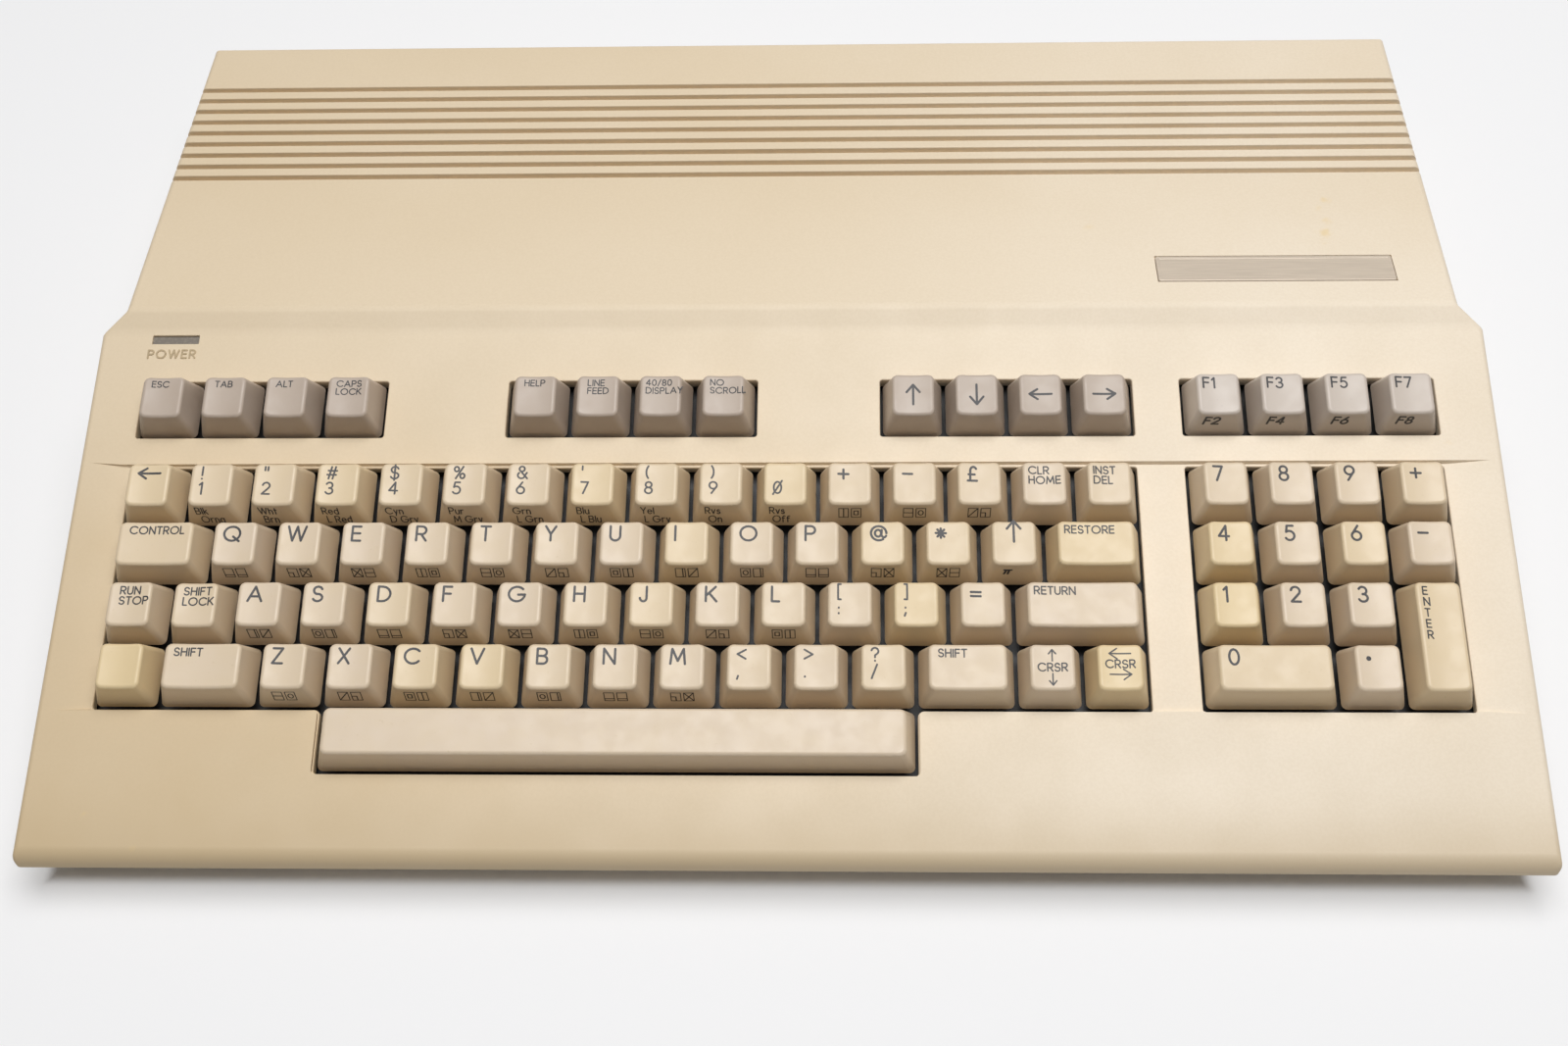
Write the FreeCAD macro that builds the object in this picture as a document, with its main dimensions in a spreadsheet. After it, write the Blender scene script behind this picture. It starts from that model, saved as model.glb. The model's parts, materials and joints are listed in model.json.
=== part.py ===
import FreeCAD, Part
import math
import os
import re
import Sketcher
from FreeCAD import Placement, Rotation, Vector

# A keyboard computer in one wedge-shaped case. X runs to the right, Y to the back, Z up.
# The origin is on the table, under the middle of the case. Keyboard pieces are drawn in the
# deck frame: u to the right, v up the slope, w square to the deck, from the main key block's
# front left corner.

SIZES = {
    # Case
    "case_width": 430, "case_depth": 315, "seam_height": 15, "lip_height": 19.5, "deck_slope": 12.5,
    "lip_to_keys": 45, "keys_to_foot": 123.3, "ramp_run": 6.85, "ramp_rise": 3.64, "top_width": 415.2,
    "top_fall": 5.47, "rear_lean": 3.6, "shell_wall": 3, "roof_wall": 4.2, "lip_radius": 5.2,
    "rear_radius": 4, "band_sink": 1.2, "band_length": 78.6, "band_fade": 4,
    "groove_count": 9, "groove_pitch": 6.16, "groove_width": 2.35, "groove_cut": 2.6, "groove_start": 64.15,
    "overrun": 5, "fit_gap": 0.2, "seat_gap": 0.05,
    # Lower case
    "seam_inset": 1.5, "floor_inset": 5, "floor_front_inset": 8, "floor_back_inset": 5,
    "floor_height": 3.2, "tub_wall": 2.5, "tub_corner": 6, "board_height": 18, "post_radius": 3.5,
    "vent_count": 9, "vent_pitch": 8, "vent_width": 3, "vent_length": 60, "vent_left": 130,
    "vent_front": 20,
    # Feet and fasteners
    "foot_radius": 8, "foot_sink": 0.6, "foot_side_inset": 40, "foot_front_inset": 39.5,
    "foot_back_inset": 35.5,
    "boss_radius": 4, "boss_side_inset": 11, "boss_back_inset": 11.5, "boss_front_inset": 15.5,
    "boss_middle": 70,
    "screw_radius": 1.5, "screw_head_radius": 3, "screw_head_height": 2, "screw_play": 0.05,
    "case_screw_length": 11, "counterbore_depth": 5, "screw_tip_room": 0.5,
    "small_screw_length": 9, "small_head_height": 1.6,
    # Badge, lens and lamp
    "badge_left": 117, "badge_width": 74, "badge_height": 11.8, "badge_up": 10.4, "badge_cut": 0.9,
    "badge_thickness": 1.1, "lens_width": 15.2, "lens_height": 3.4, "lens_back_gap": 0.9,
    "lens_recess": 0.7, "lens_flange": 1.2, "lamp_width": 9, "lamp_height": 4.2, "lamp_length": 5,
    # Keys
    "key_pitch": 19.05, "key_gap": 0.525, "well_gap": 0.8, "block_inset": 16.3, "pad_start": 319.7,
    "strip_start": 86.5, "strip_gap": 0.6, "cap_top": 9.1, "cap_skirt": 2, "cap_front": 3.2,
    "cap_back": 3, "cap_side": 3.65, "cap_wall": 1.4, "cap_roof": 1.6, "cap_dish": 0.6,
    "cap_corner": 1.8, "bar_top": 8.2, "lock_drop": 0.8,
    "plunger_width": 5, "plunger_foot": 9.2, "plunger_head": 1.2, "key_travel": 3.8, "press_gap": 0.3,
    # Keyboard frame and board
    "frame_plate": 3, "frame_rim": 2, "frame_side": 8,
    "frame_front": 23, "frame_back": 4, "board_thickness": 1.6,
    "keyboard_post_radius": 2.4, "post_side": 4.2, "post_low": 20, "post_high": 68,
    "spring_radius": 3.9, "spring_wall": 0.7, "spring_height": 1.9,
    # Space bar wire
    "wire_radius": 0.6, "wire_up": 6.7, "wire_back": 4, "wire_arm_reach": 10, "wire_arm_rise": 4.1,
    "wire_span": 120, "wire_hook": 5, "lug_width": 2, "lug_length": 5.5, "lug_drop": 4,
    "lug_slot_length": 3.4, "lug_slot_height": 1.9, "clip_width": 4, "clip_wall": 1.2, "clip_at": 25,
    # Main board and what it carries
    "board_left_inset": 27, "board_right_inset": 14, "board_front": 60, "board_back_inset": 16.5,
    "shield_left": 150, "shield_right": 120, "shield_front": 6, "shield_back_inset": 36,
    "shield_height": 12,
    "shield_sheet": 0.8, "shield_hole_radius": 2.5, "shield_hole_pitch": 18,
    "shield_hole_columns": 13, "shield_hole_rows": 4,
    "chip_width": 14, "chip_length": 52, "chip_height": 4, "memory_width": 7, "memory_length": 20,
    "chip_standoff": 0.5, "chip_gap": 5, "chip_count": 5, "memory_count": 8,
    "pin_reach": 1.6, "pin_sheet": 0.5,
    # Rear sockets, as places measured from the middle
    "socket_gap": 0.5, "socket_reach": 3.1,
    "cartridge_at": 142, "cartridge_length": 62, "cartridge_width": 12, "cartridge_depth": 16,
    "cartridge_slot_length": 56, "cartridge_slot_width": 2.6, "cartridge_slot_depth": 9,
    "tape_at": 90, "tape_length": 26, "user_at": 128, "user_length": 50, "finger_reach": 12.6,
    "edge_port_height": 9, "edge_port_margin": 3,
    "serial_at": 62, "video_at": 38, "din_radius": 7.5, "din_depth": 14, "din_width": 17,
    "din_cut": 5, "din_wall": 1.3, "din_core_radius": 5.4, "din_pin_radius": 0.6,
    "din_pin_ring": 3.2, "din_pins": 6,
    "modulator_at": 0, "modulator_width": 46, "modulator_depth": 42, "modulator_height": 17,
    "jack_at": 12, "jack_radius": 4.1, "jack_bore": 1.6, "jack_reach": 6.5, "jack_up": 9,
    "jack_hole_radius": 6.5, "switch_at": 12, "switch_slot": 10, "switch_up": 9,
    "slider_width": 4, "slider_height": 3.2, "slider_length": 9, "slider_travel": 3,
    "monitor_at": 56, "plug_length": 25, "plug_height": 11.4, "plug_depth": 11,
    "plug_face_length": 31, "plug_sheet": 0.9, "plug_core_sink": 1, "plug_up": 8,
    "plug_pin_radius": 0.55, "plug_pin_pitch": 2.77, "plug_row_pitch": 2.84,
    # Right side sockets, as places measured from the middle
    "power_at": 118, "power_depth": 17, "power_width": 20, "power_height": 16, "power_cut": 7,
    "power_bore_radius": 6.4,
    "rocker_at": 94, "rocker_up": 10, "rocker_reach": 9.4, "rocker_pivot": 6, "rocker_height": 10,
    "rocker_half_angle": 8, "rocker_heel": 3.8, "rocker_shoulder": 7.5,
    "switch_wall": 1.6, "switch_depth": 15, "axle_radius": 1.2, "axle_play": 0.05,
    "reset_at": 74, "reset_radius": 3, "reset_travel": 2, "reset_body": 9, "reset_depth": 10,
    "reset_reach": 3.4, "reset_up": 8,
    "joystick_high": 50, "joystick_low": 16,
    # Keyboard cable
    "cable_width": 46, "cable_sheet": 0.9, "cable_inset": 48.7, "cable_from": 84, "cable_run": 8.33,
    "header_height": 6, "header_depth": 6,
}

# Derived places, written as formulas of the sizes above. Bosses, feet, the main board and the keys
# follow the case's edges, the frame lies below the lowest place that a pressed cap and its spring
# reach, and the keyboard board lies below the plungers.

DERIVED = {
    "boss_left": "(case_width / 2 - boss_side_inset)",
    "boss_back": "(case_depth / 2 - boss_back_inset)",
    "boss_front": "(case_depth / 2 - boss_front_inset)",
    "foot_left": "(case_width / 2 - foot_side_inset)",
    "foot_front": "(case_depth / 2 - foot_front_inset)",
    "foot_back": "(case_depth / 2 - foot_back_inset)",
    "board_left": "(case_width / 2 - board_left_inset)",
    "board_right": "(case_width / 2 - board_right_inset)",
    "board_back": "(case_depth / 2 - board_back_inset)",
    "shield_back": "(board_back - shield_back_inset)",
    "block_left": "(case_width / 2 - block_inset)",
    "cable_left": "(block_left - cable_inset)",
    "frame_top": "(cap_skirt + key_travel + spring_height + press_gap)",
    "frame_foot": "(plunger_foot + key_travel + press_gap)",
}
KEYS_Y = "(lip_to_keys * cos(deck_slope) - case_depth / 2)"
KEYS_Z = "(lip_height + lip_to_keys * sin(deck_slope))"
FOOT_Y = f"({KEYS_Y} + keys_to_foot * cos(deck_slope))"
FOOT_Z = f"({KEYS_Z} + keys_to_foot * sin(deck_slope))"
RAMP_Y = f"({FOOT_Y} + ramp_run)"
RAMP_Z = f"({FOOT_Z} + ramp_rise)"
BACK_Z = f"({RAMP_Z} - (case_depth / 2 - {RAMP_Y}) * tan(top_fall))"
SIDE_TAPER = f"((case_width - top_width) / 2 / ({RAMP_Z} - seam_height))"
BACK_HALF = f"(case_width / 2 - ({BACK_Z} - seam_height) * {SIDE_TAPER})"
BOARD_TOP = "(board_height + board_thickness)"
REAR_WALL_Y = "(case_depth / 2)"
SIDE_WALL_X = f"(case_width / 2 - ({BOARD_TOP} + plug_up - seam_height) * {SIDE_TAPER})"

doc = FreeCAD.newDocument("home_computer")
sheet = doc.addObject("Spreadsheet::Sheet", "sizes")
for line, (alias, value) in enumerate(SIZES.items(), start=1):
    sheet.set(f"A{line}", alias)
    sheet.set(f"B{line}", str(value))
    sheet.setAlias(f"B{line}", alias)
doc.recompute()

nodes = []


# Formulas and bindings

def cell(word):
    if word in DERIVED:
        return formula(DERIVED[word])
    return "sizes." + word if word in SIZES else word


def formula(text):
    """A formula with each size's name turned into its cell."""
    return re.sub(r"[a-z_]+", lambda match: cell(match.group()), str(text))


def number(text):
    return float(sheet.evalExpression(formula(text)))


def bind(thing, **texts):
    for name, text in texts.items():
        thing.setExpression(name.replace("__", "."), formula(text))


def place(thing, x="0", y="0", z="0"):
    bind(thing, Placement__Base__x=x, Placement__Base__y=y, Placement__Base__z=z)


def lay_on_deck(thing):
    """Put a piece that is drawn in the deck frame on the sloped deck."""
    thing.Placement = Placement(Vector(), Rotation(Vector(1, 0, 0), 1))
    place(thing, "-block_left", KEYS_Y, KEYS_Z)
    bind(thing, Placement__Rotation__Angle="deck_slope")


def node(thing, label, on_deck=False):
    thing.Label = label
    if on_deck:
        lay_on_deck(thing)
    nodes.append(thing)
    return thing


# Part primitives

def box(name, length, width, height, x="0", y="0", z="0"):
    block = doc.addObject("Part::Box", name)
    bind(block, Length=length, Width=width, Height=height)
    place(block, x, y, z)
    return block


AXES = {"x": (Vector(0, 1, 0), 90), "y": (Vector(1, 0, 0), -90), "z": (Vector(0, 0, 1), 0)}


def rod(name, radius, length, x="0", y="0", z="0", axis="z"):
    """A cylinder that starts at the given point and runs along an axis."""
    bar = doc.addObject("Part::Cylinder", name)
    bar.Placement = Placement(Vector(), Rotation(*AXES[axis]))
    bind(bar, Radius=radius, Height=length)
    place(bar, x, y, z)
    return bar


def gather(name, things):
    group = doc.addObject("Part::Compound", name)
    group.Links = things
    return group


def join(name, things):
    whole = doc.addObject("Part::MultiFuse", name)
    whole.Shapes = things
    return whole


def cut(name, base, tools):
    result = doc.addObject("Part::Cut", name)
    result.Base = base
    result.Tool = tools[0] if len(tools) == 1 else gather(name + "_tools", tools)
    return result


def copies(name, master, places):
    """Links to one master, each at a place of its own."""
    links = []
    for x, y, z in places:
        link = doc.addObject("App::Link", name + "_copy")
        link.LinkedObject = master
        place(link, x, y, z)
        links.append(link)
    return links


# Sketches and features

def new_body(name):
    body = doc.addObject("PartDesign::Body", name)
    body.AllowCompound = True
    return body


def sketch(body, role, x="0", y="0", z="0", tilt="0"):
    """A sketch on one of the body's planes, moved and tipped in that plane's own frame."""
    drawing = body.newObject("Sketcher::SketchObject", body.Name + "_sketch")
    plane = [item for item in body.Origin.OriginFeatures if item.Role == role][0]
    drawing.AttachmentSupport = (plane, "")
    drawing.MapMode = "FlatFace"
    axis = Vector(0, 0, 1) if role == "YZ_Plane" else Vector(1, 0, 0)
    drawing.AttachmentOffset = Placement(Vector(), Rotation(axis, 1))
    bind(drawing, AttachmentOffset__Base__x=x, AttachmentOffset__Base__y=y,
         AttachmentOffset__Base__z=z, AttachmentOffset__Rotation__Angle=tilt)
    return drawing


def pin_point(drawing, item, end, x, y):
    for kind, text in (("DistanceX", x), ("DistanceY", y)):
        index = drawing.addConstraint(Sketcher.Constraint(kind, -1, 1, item, end, number(text)))
        name = f"{kind}_{item}_{end}"
        drawing.renameConstraint(index, name)
        if text != "0":
            drawing.setExpression("Constraints." + name, formula(text))


def outline(drawing, corners):
    """A closed outline of straight lines through corners given as formulas."""
    first = drawing.GeometryCount
    spots = [Vector(number(x), number(y), 0) for x, y in corners]
    count = len(corners)
    for i in range(count):
        drawing.addGeometry(Part.LineSegment(spots[i], spots[(i + 1) % count]), False)
    for i in range(count):
        drawing.addConstraint(Sketcher.Constraint("Coincident", first + i, 2, first + (i + 1) % count, 1))
    for i, (x, y) in enumerate(corners):
        pin_point(drawing, first + i, 1, x, y)
    return drawing


def rectangle(drawing, left, low, right, high):
    return outline(drawing, [(left, low), (right, low), (right, high), (left, high)])


def rounded(drawing, left, low, right, high, radius):
    """A rectangle whose corners are arcs."""
    first = drawing.GeometryCount
    turn = number(radius)
    rows = [(left, low, "+", "+", 180), (right, low, "-", "+", 270), (right, high, "-", "-", 0),
            (left, high, "+", "-", 90)]
    ends = []
    for x, y, sign_x, sign_y, angle in rows:
        in_x, in_y = (f"{x} {sign_x} ({radius})", y), (x, f"{y} {sign_y} ({radius})")
        ends.append((in_y, in_x) if angle % 180 == 0 else (in_x, in_y))
        centre = Vector(number(in_x[0]), number(in_y[1]), 0)
        arc = Part.ArcOfCircle(Part.Circle(centre, Vector(0, 0, 1), turn), math.radians(angle),
                               math.radians(angle + 90))
        drawing.addGeometry(arc, False)
    for i in range(4):
        start, end = ends[i][1], ends[(i + 1) % 4][0]
        item = drawing.addGeometry(Part.LineSegment(Vector(number(start[0]), number(start[1]), 0),
                                                    Vector(number(end[0]), number(end[1]), 0)), False)
        pin_point(drawing, item, 1, *start)
        pin_point(drawing, item, 2, *end)
    for i in range(4):
        drawing.addConstraint(Sketcher.Constraint("Coincident", first + i, 2, first + 4 + i, 1))
        drawing.addConstraint(Sketcher.Constraint("Coincident", first + 4 + i, 2, first + (i + 1) % 4, 1))
        index = drawing.addConstraint(Sketcher.Constraint("Radius", first + i, turn))
        drawing.renameConstraint(index, f"Radius_{first + i}")
        drawing.setExpression(f"Constraints.Radius_{first + i}", formula(radius))
    return drawing


def circle(drawing, x, y, radius):
    item = drawing.addGeometry(Part.Circle(Vector(number(x), number(y), 0), Vector(0, 0, 1), number(radius)))
    pin_point(drawing, item, 3, x, y)
    index = drawing.addConstraint(Sketcher.Constraint("Radius", item, number(radius)))
    drawing.renameConstraint(index, f"Radius_{item}")
    drawing.setExpression(f"Constraints.Radius_{item}", formula(radius))
    return drawing


def extrude(body, drawing, length, kind="Pad", side="One side", reverse=False):
    feature = body.newObject("PartDesign::" + kind, body.Name + "_" + kind)
    feature.Profile = drawing
    feature.SideType = side
    feature.Reversed = reverse
    bind(feature, Length=length)
    return feature


def loft(body, drawings, kind="AdditiveLoft"):
    feature = body.newObject("PartDesign::" + kind, body.Name + "_" + kind)
    feature.Profile = drawings[0]
    feature.Sections = drawings[1:]
    feature.Ruled = True
    return feature


def repeat(body, feature, drawing, axis, length, count):
    row = body.newObject("PartDesign::LinearPattern", body.Name + "_row")
    row.Originals = [feature]
    row.Direction = (drawing, [axis])
    bind(row, Length=length, Occurrences=count)
    body.Tip = row
    return row


def round_edges(body, radius, test):
    """Round the edges of the body whose middle point and direction pass a test."""
    doc.recompute()
    names = []
    for i, edge in enumerate(body.Shape.Edges, start=1):
        middle = edge.valueAt((edge.FirstParameter + edge.LastParameter) / 2)
        along = edge.tangentAt((edge.FirstParameter + edge.LastParameter) / 2)
        if test(middle, along):
            names.append(f"Edge{i}")
    base = body.Tip
    feature = body.newObject("PartDesign::Fillet", body.Name + "_round")
    feature.Base = (base, names)
    bind(feature, Radius=radius)
    return feature


def polyhedron(corners, faces):
    """A closed solid with flat faces through numbered corners."""
    sides = []
    for face in faces:
        spots = [corners[i] for i in face]
        sides.append(Part.Face(Part.makePolygon(spots + spots[:1])))
    solid = Part.makeSolid(Part.makeShell(sides))
    if solid.Volume < 0:
        solid.reverse()
    return solid


NEAR = 0.05


# Upper case

def well_outline():
    """The main key well, with the notch in front for the space bar."""
    left, right = "-well_gap", "key_pitch * 16 + well_gap"
    front, back = "-well_gap", "key_pitch * 4 + well_gap"
    notch_left, notch_right = "key_pitch * 3.5 - well_gap", "key_pitch * 12.5 + well_gap"
    notch_front = "-key_pitch - well_gap"
    return [(left, front), (notch_left, front), (notch_left, notch_front), (notch_right, notch_front),
            (notch_right, front), (right, front), (right, back), (left, back)]


BANKS = ["0", "key_pitch * 6", "key_pitch * 12", "pad_start"]
PLATE_RIGHT = "pad_start + key_pitch * 4 + frame_side"
KEYBOARD_POSTS = [(u, v) for u in ("-post_side", "(key_pitch * 16 + pad_start) / 2",
                                   "pad_start + key_pitch * 4 + post_side")
                  for v in ("post_low", "post_high")]
CASE_BOSSES = [(x, y) for x in ("-boss_left", "boss_left") for y in ("-boss_front", "boss_back")]
CASE_BOSSES += [(x, "-boss_front") for x in ("-boss_middle", "boss_middle")]


def case_form(side, roof):
    """The wedge and the taller rear block, drawn inside the outer skin by given walls."""
    low = number("seam_height")
    half = number(f"case_width / 2 - {side}")
    drop = f"{roof} / cos(deck_slope)"
    front = number(f"{side} - case_depth / 2")
    lip = number(f"lip_height + {side} * tan(deck_slope) - {drop}")
    foot = (number(f"{FOOT_Y} + {side}"), number(f"{FOOT_Z} + {side} * tan(deck_slope) - {drop}"))
    ramp = (number(f"{RAMP_Y} + {side}"), number(f"{RAMP_Z} - {roof}"))
    back = (number(f"case_depth / 2 - rear_lean - {side}"),
            number(f"{BACK_Z} + rear_lean * tan(top_fall) - {roof}"))
    taper = number(SIDE_TAPER)
    end = number("case_depth / 2") if side == "0" else back[0]
    spots = [(half, front, low), (half, front, lip), (half, *foot), (half - taper * (ramp[1] - low), *ramp),
             (half - taper * (back[1] - low), *back), (half, end, low), (half, ramp[0], low)]
    corners = [Vector(x, y, z) for x, y, z in spots] + [Vector(-x, y, z) for x, y, z in spots]
    faces = [[i, i + 1, i + 8, i + 7] for i in range(5)] + [[0, 6, 5, 12, 13, 7]]
    for start in (0, 7):
        faces += [[start, start + 1, start + 2, start + 6], [start + 2, start + 3, start + 6],
                  [start + 6, start + 3, start + 4, start + 5]]
    return polyhedron(corners, faces)


def rounded_case():
    """The outer form with its lip and rear edge rounded."""
    solid = case_form("0", "0")
    low = number("seam_height")
    for radius, place_y in (("lip_radius", "-case_depth / 2"), ("rear_radius", "case_depth / 2 - rear_lean")):
        edges = [edge for edge in solid.Edges
                 if abs(edge.tangentAt(edge.FirstParameter).x) > 1 - NEAR
                 and abs(edge.CenterOfMass.y - number(place_y)) < NEAR and edge.CenterOfMass.z > low + NEAR]
        solid = solid.makeFillet(number(radius), edges)
    blank = doc.addObject("Part::Feature", "case_blank")
    blank.Shape = solid
    return blank


def upper_form():
    body = new_body("upper_form")
    hollow = doc.addObject("Part::Feature", "case_hollow")
    hollow.Shape = case_form("shell_wall", "roof_wall")
    body.BaseFeature = cut("case_skin", rounded_case(), [hollow])
    doc.recompute()
    bosses = sketch(body, "XY_Plane", z="seam_height")
    for x, y in CASE_BOSSES:
        if y.startswith("-"):
            circle(bosses, x, y, "boss_radius")
    extrude(body, bosses, "lip_height - seam_height + (case_depth / 2 - boss_front) * tan(deck_slope)"
            " - shell_wall / 2")
    bosses = sketch(body, "XY_Plane", z="seam_height")
    for x, y in CASE_BOSSES:
        if not y.startswith("-"):
            circle(bosses, x, y, "boss_radius")
    extrude(body, bosses, f"{RAMP_Z} - (boss_back - {RAMP_Y}) * tan(top_fall) - seam_height - roof_wall / 2"
            " - boss_radius * tan(top_fall)")
    holes = sketch(body, "XY_Plane", z="seam_height")
    for x, y in CASE_BOSSES:
        circle(holes, x, y, "screw_radius + screw_play")
    extrude(body, holes, "floor_height + counterbore_depth + case_screw_length + screw_tip_room"
            " - seam_height", "Pocket", reverse=True)
    posts = sketch(body, "XY_Plane", "-block_left", KEYS_Y, KEYS_Z, "deck_slope")
    for u, v in KEYBOARD_POSTS:
        circle(posts, u, v, "keyboard_post_radius")
    extrude(body, posts, "frame_top", reverse=True)
    holes = sketch(body, "XY_Plane", "-block_left", f"{KEYS_Y} + frame_top * sin(deck_slope)",
                   f"{KEYS_Z} - frame_top * cos(deck_slope)", "deck_slope")
    for u, v in KEYBOARD_POSTS:
        circle(holes, u, v, "screw_radius + screw_play")
    extrude(body, holes, "small_screw_length + screw_tip_room - (frame_foot + board_thickness - frame_top)",
            "Pocket", reverse=True)
    openings = sketch(body, "XY_Plane", "-block_left", KEYS_Y, KEYS_Z, "deck_slope")
    outline(openings, well_outline())
    rectangle(openings, "pad_start - well_gap", "-well_gap", "pad_start + key_pitch * 4 + well_gap",
              "key_pitch * 4 + well_gap")
    for start in BANKS:
        rectangle(openings, f"{start} - well_gap", "strip_start - strip_gap",
                  f"{start} + key_pitch * 4 + well_gap", "strip_start + key_pitch + strip_gap")
    rectangle(openings, "0", "keys_to_foot - lens_back_gap - lens_height", "lens_width",
              "keys_to_foot - lens_back_gap")
    extrude(body, openings, "2 * (roof_wall + overrun)", "Pocket", "Symmetric")
    band = sketch(body, "XZ_Plane", "0", f"{KEYS_Z} - well_gap * sin(deck_slope)",
                  f"-({KEYS_Y} - well_gap * cos(deck_slope))", "deck_slope")
    outline(band, [("band_fade - case_width / 2", "0"), ("-block_left - well_gap", "-band_sink"),
                   ("pad_start + key_pitch * 4 + well_gap - block_left", "-band_sink"),
                   ("case_width / 2 - band_fade", "0"), ("case_width / 2 - band_fade", "overrun"),
                   ("band_fade - case_width / 2", "overrun")])
    extrude(body, band, "band_length", "Pocket")
    groove = sketch(body, "YZ_Plane", RAMP_Y, RAMP_Z, "0", "-top_fall")
    rectangle(groove, "groove_start", "-groove_cut", "groove_start + groove_width", "overrun")
    slot = extrude(body, groove, "case_width", "Pocket", "Symmetric")
    repeat(body, slot, groove, "H_Axis", "groove_pitch * (groove_count - 1)", "groove_count")
    badge = sketch(body, "XY_Plane", "0", RAMP_Y, RAMP_Z, "-top_fall")
    rectangle(badge, "badge_left - fit_gap", "badge_up - fit_gap", "badge_left + badge_width + fit_gap",
              "badge_up + badge_height + fit_gap")
    extrude(body, badge, "badge_cut", "Pocket")
    return body


def rear_cutters():
    """Openings in the back wall, each lined up with its socket."""
    start = f"{REAR_WALL_Y} - rear_lean - shell_wall - overrun"
    deep = "rear_lean + shell_wall + 2 * overrun"
    cutters = []
    for name, at, length, height in (
            ("cartridge_port", "cartridge_at", "cartridge_length", "cartridge_width"),
            ("tape_port", "tape_at", "tape_length", "edge_port_height"),
            ("user_port", "-user_at", "user_length", "edge_port_height")):
        cutters.append(box(name, f"{length} + 2 * edge_port_margin", deep, f"{height} + edge_port_margin",
                           f"{at} - {length} / 2 - edge_port_margin", start,
                           f"board_height + board_thickness / 2 - {height} / 2"
                           if height == "edge_port_height" else f"{BOARD_TOP} - edge_port_margin / 2"))
    for name, at in (("serial_hole", "serial_at"), ("video_hole", "video_at")):
        cutters.append(rod(name, "din_radius + din_wall + socket_gap", deep, at, start,
                           f"{BOARD_TOP} + din_width / 2", "y"))
    cutters.append(rod("jack_hole", "jack_hole_radius", deep, "modulator_at - jack_at", start,
                       f"{BOARD_TOP} + jack_up", "y"))
    cutters.append(box("switch_hole", "switch_slot", deep, "slider_height + 2 * socket_gap",
                       "modulator_at + switch_at - switch_slot / 2", start,
                       f"{BOARD_TOP} + switch_up - slider_height / 2 - socket_gap"))
    cutters.append(box("monitor_hole", "plug_face_length + 2 * socket_gap", deep,
                       "plug_height + 2 * socket_gap", "-monitor_at - plug_face_length / 2 - socket_gap",
                       start, f"{BOARD_TOP} + plug_up - plug_height / 2 - socket_gap"))
    return cutters


def side_cutters():
    """Openings in the right wall."""
    start = f"{SIDE_WALL_X} - shell_wall - overrun"
    deep = "shell_wall + 3 * overrun"
    cutters = [box("power_hole", deep, "power_width - 2 * switch_wall", "power_height - 2 * switch_wall",
                   start, "power_at - power_width / 2 + switch_wall", f"{BOARD_TOP} + switch_wall"),
               box("rocker_hole", deep, "2 * (rocker_reach + socket_gap)", "rocker_height + 2 * socket_gap",
                   start, "rocker_at - rocker_reach - socket_gap",
                   f"{BOARD_TOP} + rocker_up - rocker_height / 2 - socket_gap"),
               rod("reset_hole", "reset_radius + socket_gap", deep, start, "reset_at",
                   f"{BOARD_TOP} + reset_up", "x")]
    for name, at in (("joystick_high_hole", "joystick_high"), ("joystick_low_hole", "joystick_low")):
        cutters.append(box(name, deep, "plug_length + 2 * socket_gap", "plug_height + 2 * socket_gap", start,
                           f"{at} - plug_length / 2 - socket_gap",
                           f"{BOARD_TOP} + plug_up - plug_height / 2 - socket_gap"))
    return cutters


def upper_case():
    node(cut("upper_shell", upper_form(), rear_cutters() + side_cutters()), "upper_case")


# Lower case

SMALL_POSTS = [(x, y) for x in ("-board_left + boss_radius", "board_right - boss_radius")
               for y in ("-board_front + boss_radius", "board_back - 2 * boss_radius")]


def tub_form(body, kind, wall, low):
    drawings = []
    for z, side, front, back in ((low, "floor_inset", "floor_front_inset", "floor_back_inset"),
                                 ("seam_height", "seam_inset", "seam_inset", "seam_inset")):
        drawing = sketch(body, "XY_Plane", z=z)
        rounded(drawing, f"({side} + {wall} - case_width / 2)", f"({front} + {wall} - case_depth / 2)",
                f"(case_width / 2 - {side} - {wall})", f"(case_depth / 2 - {back} - {wall})",
                f"tub_corner - {wall}")
        drawings.append(drawing)
    loft(body, drawings, kind)


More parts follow.
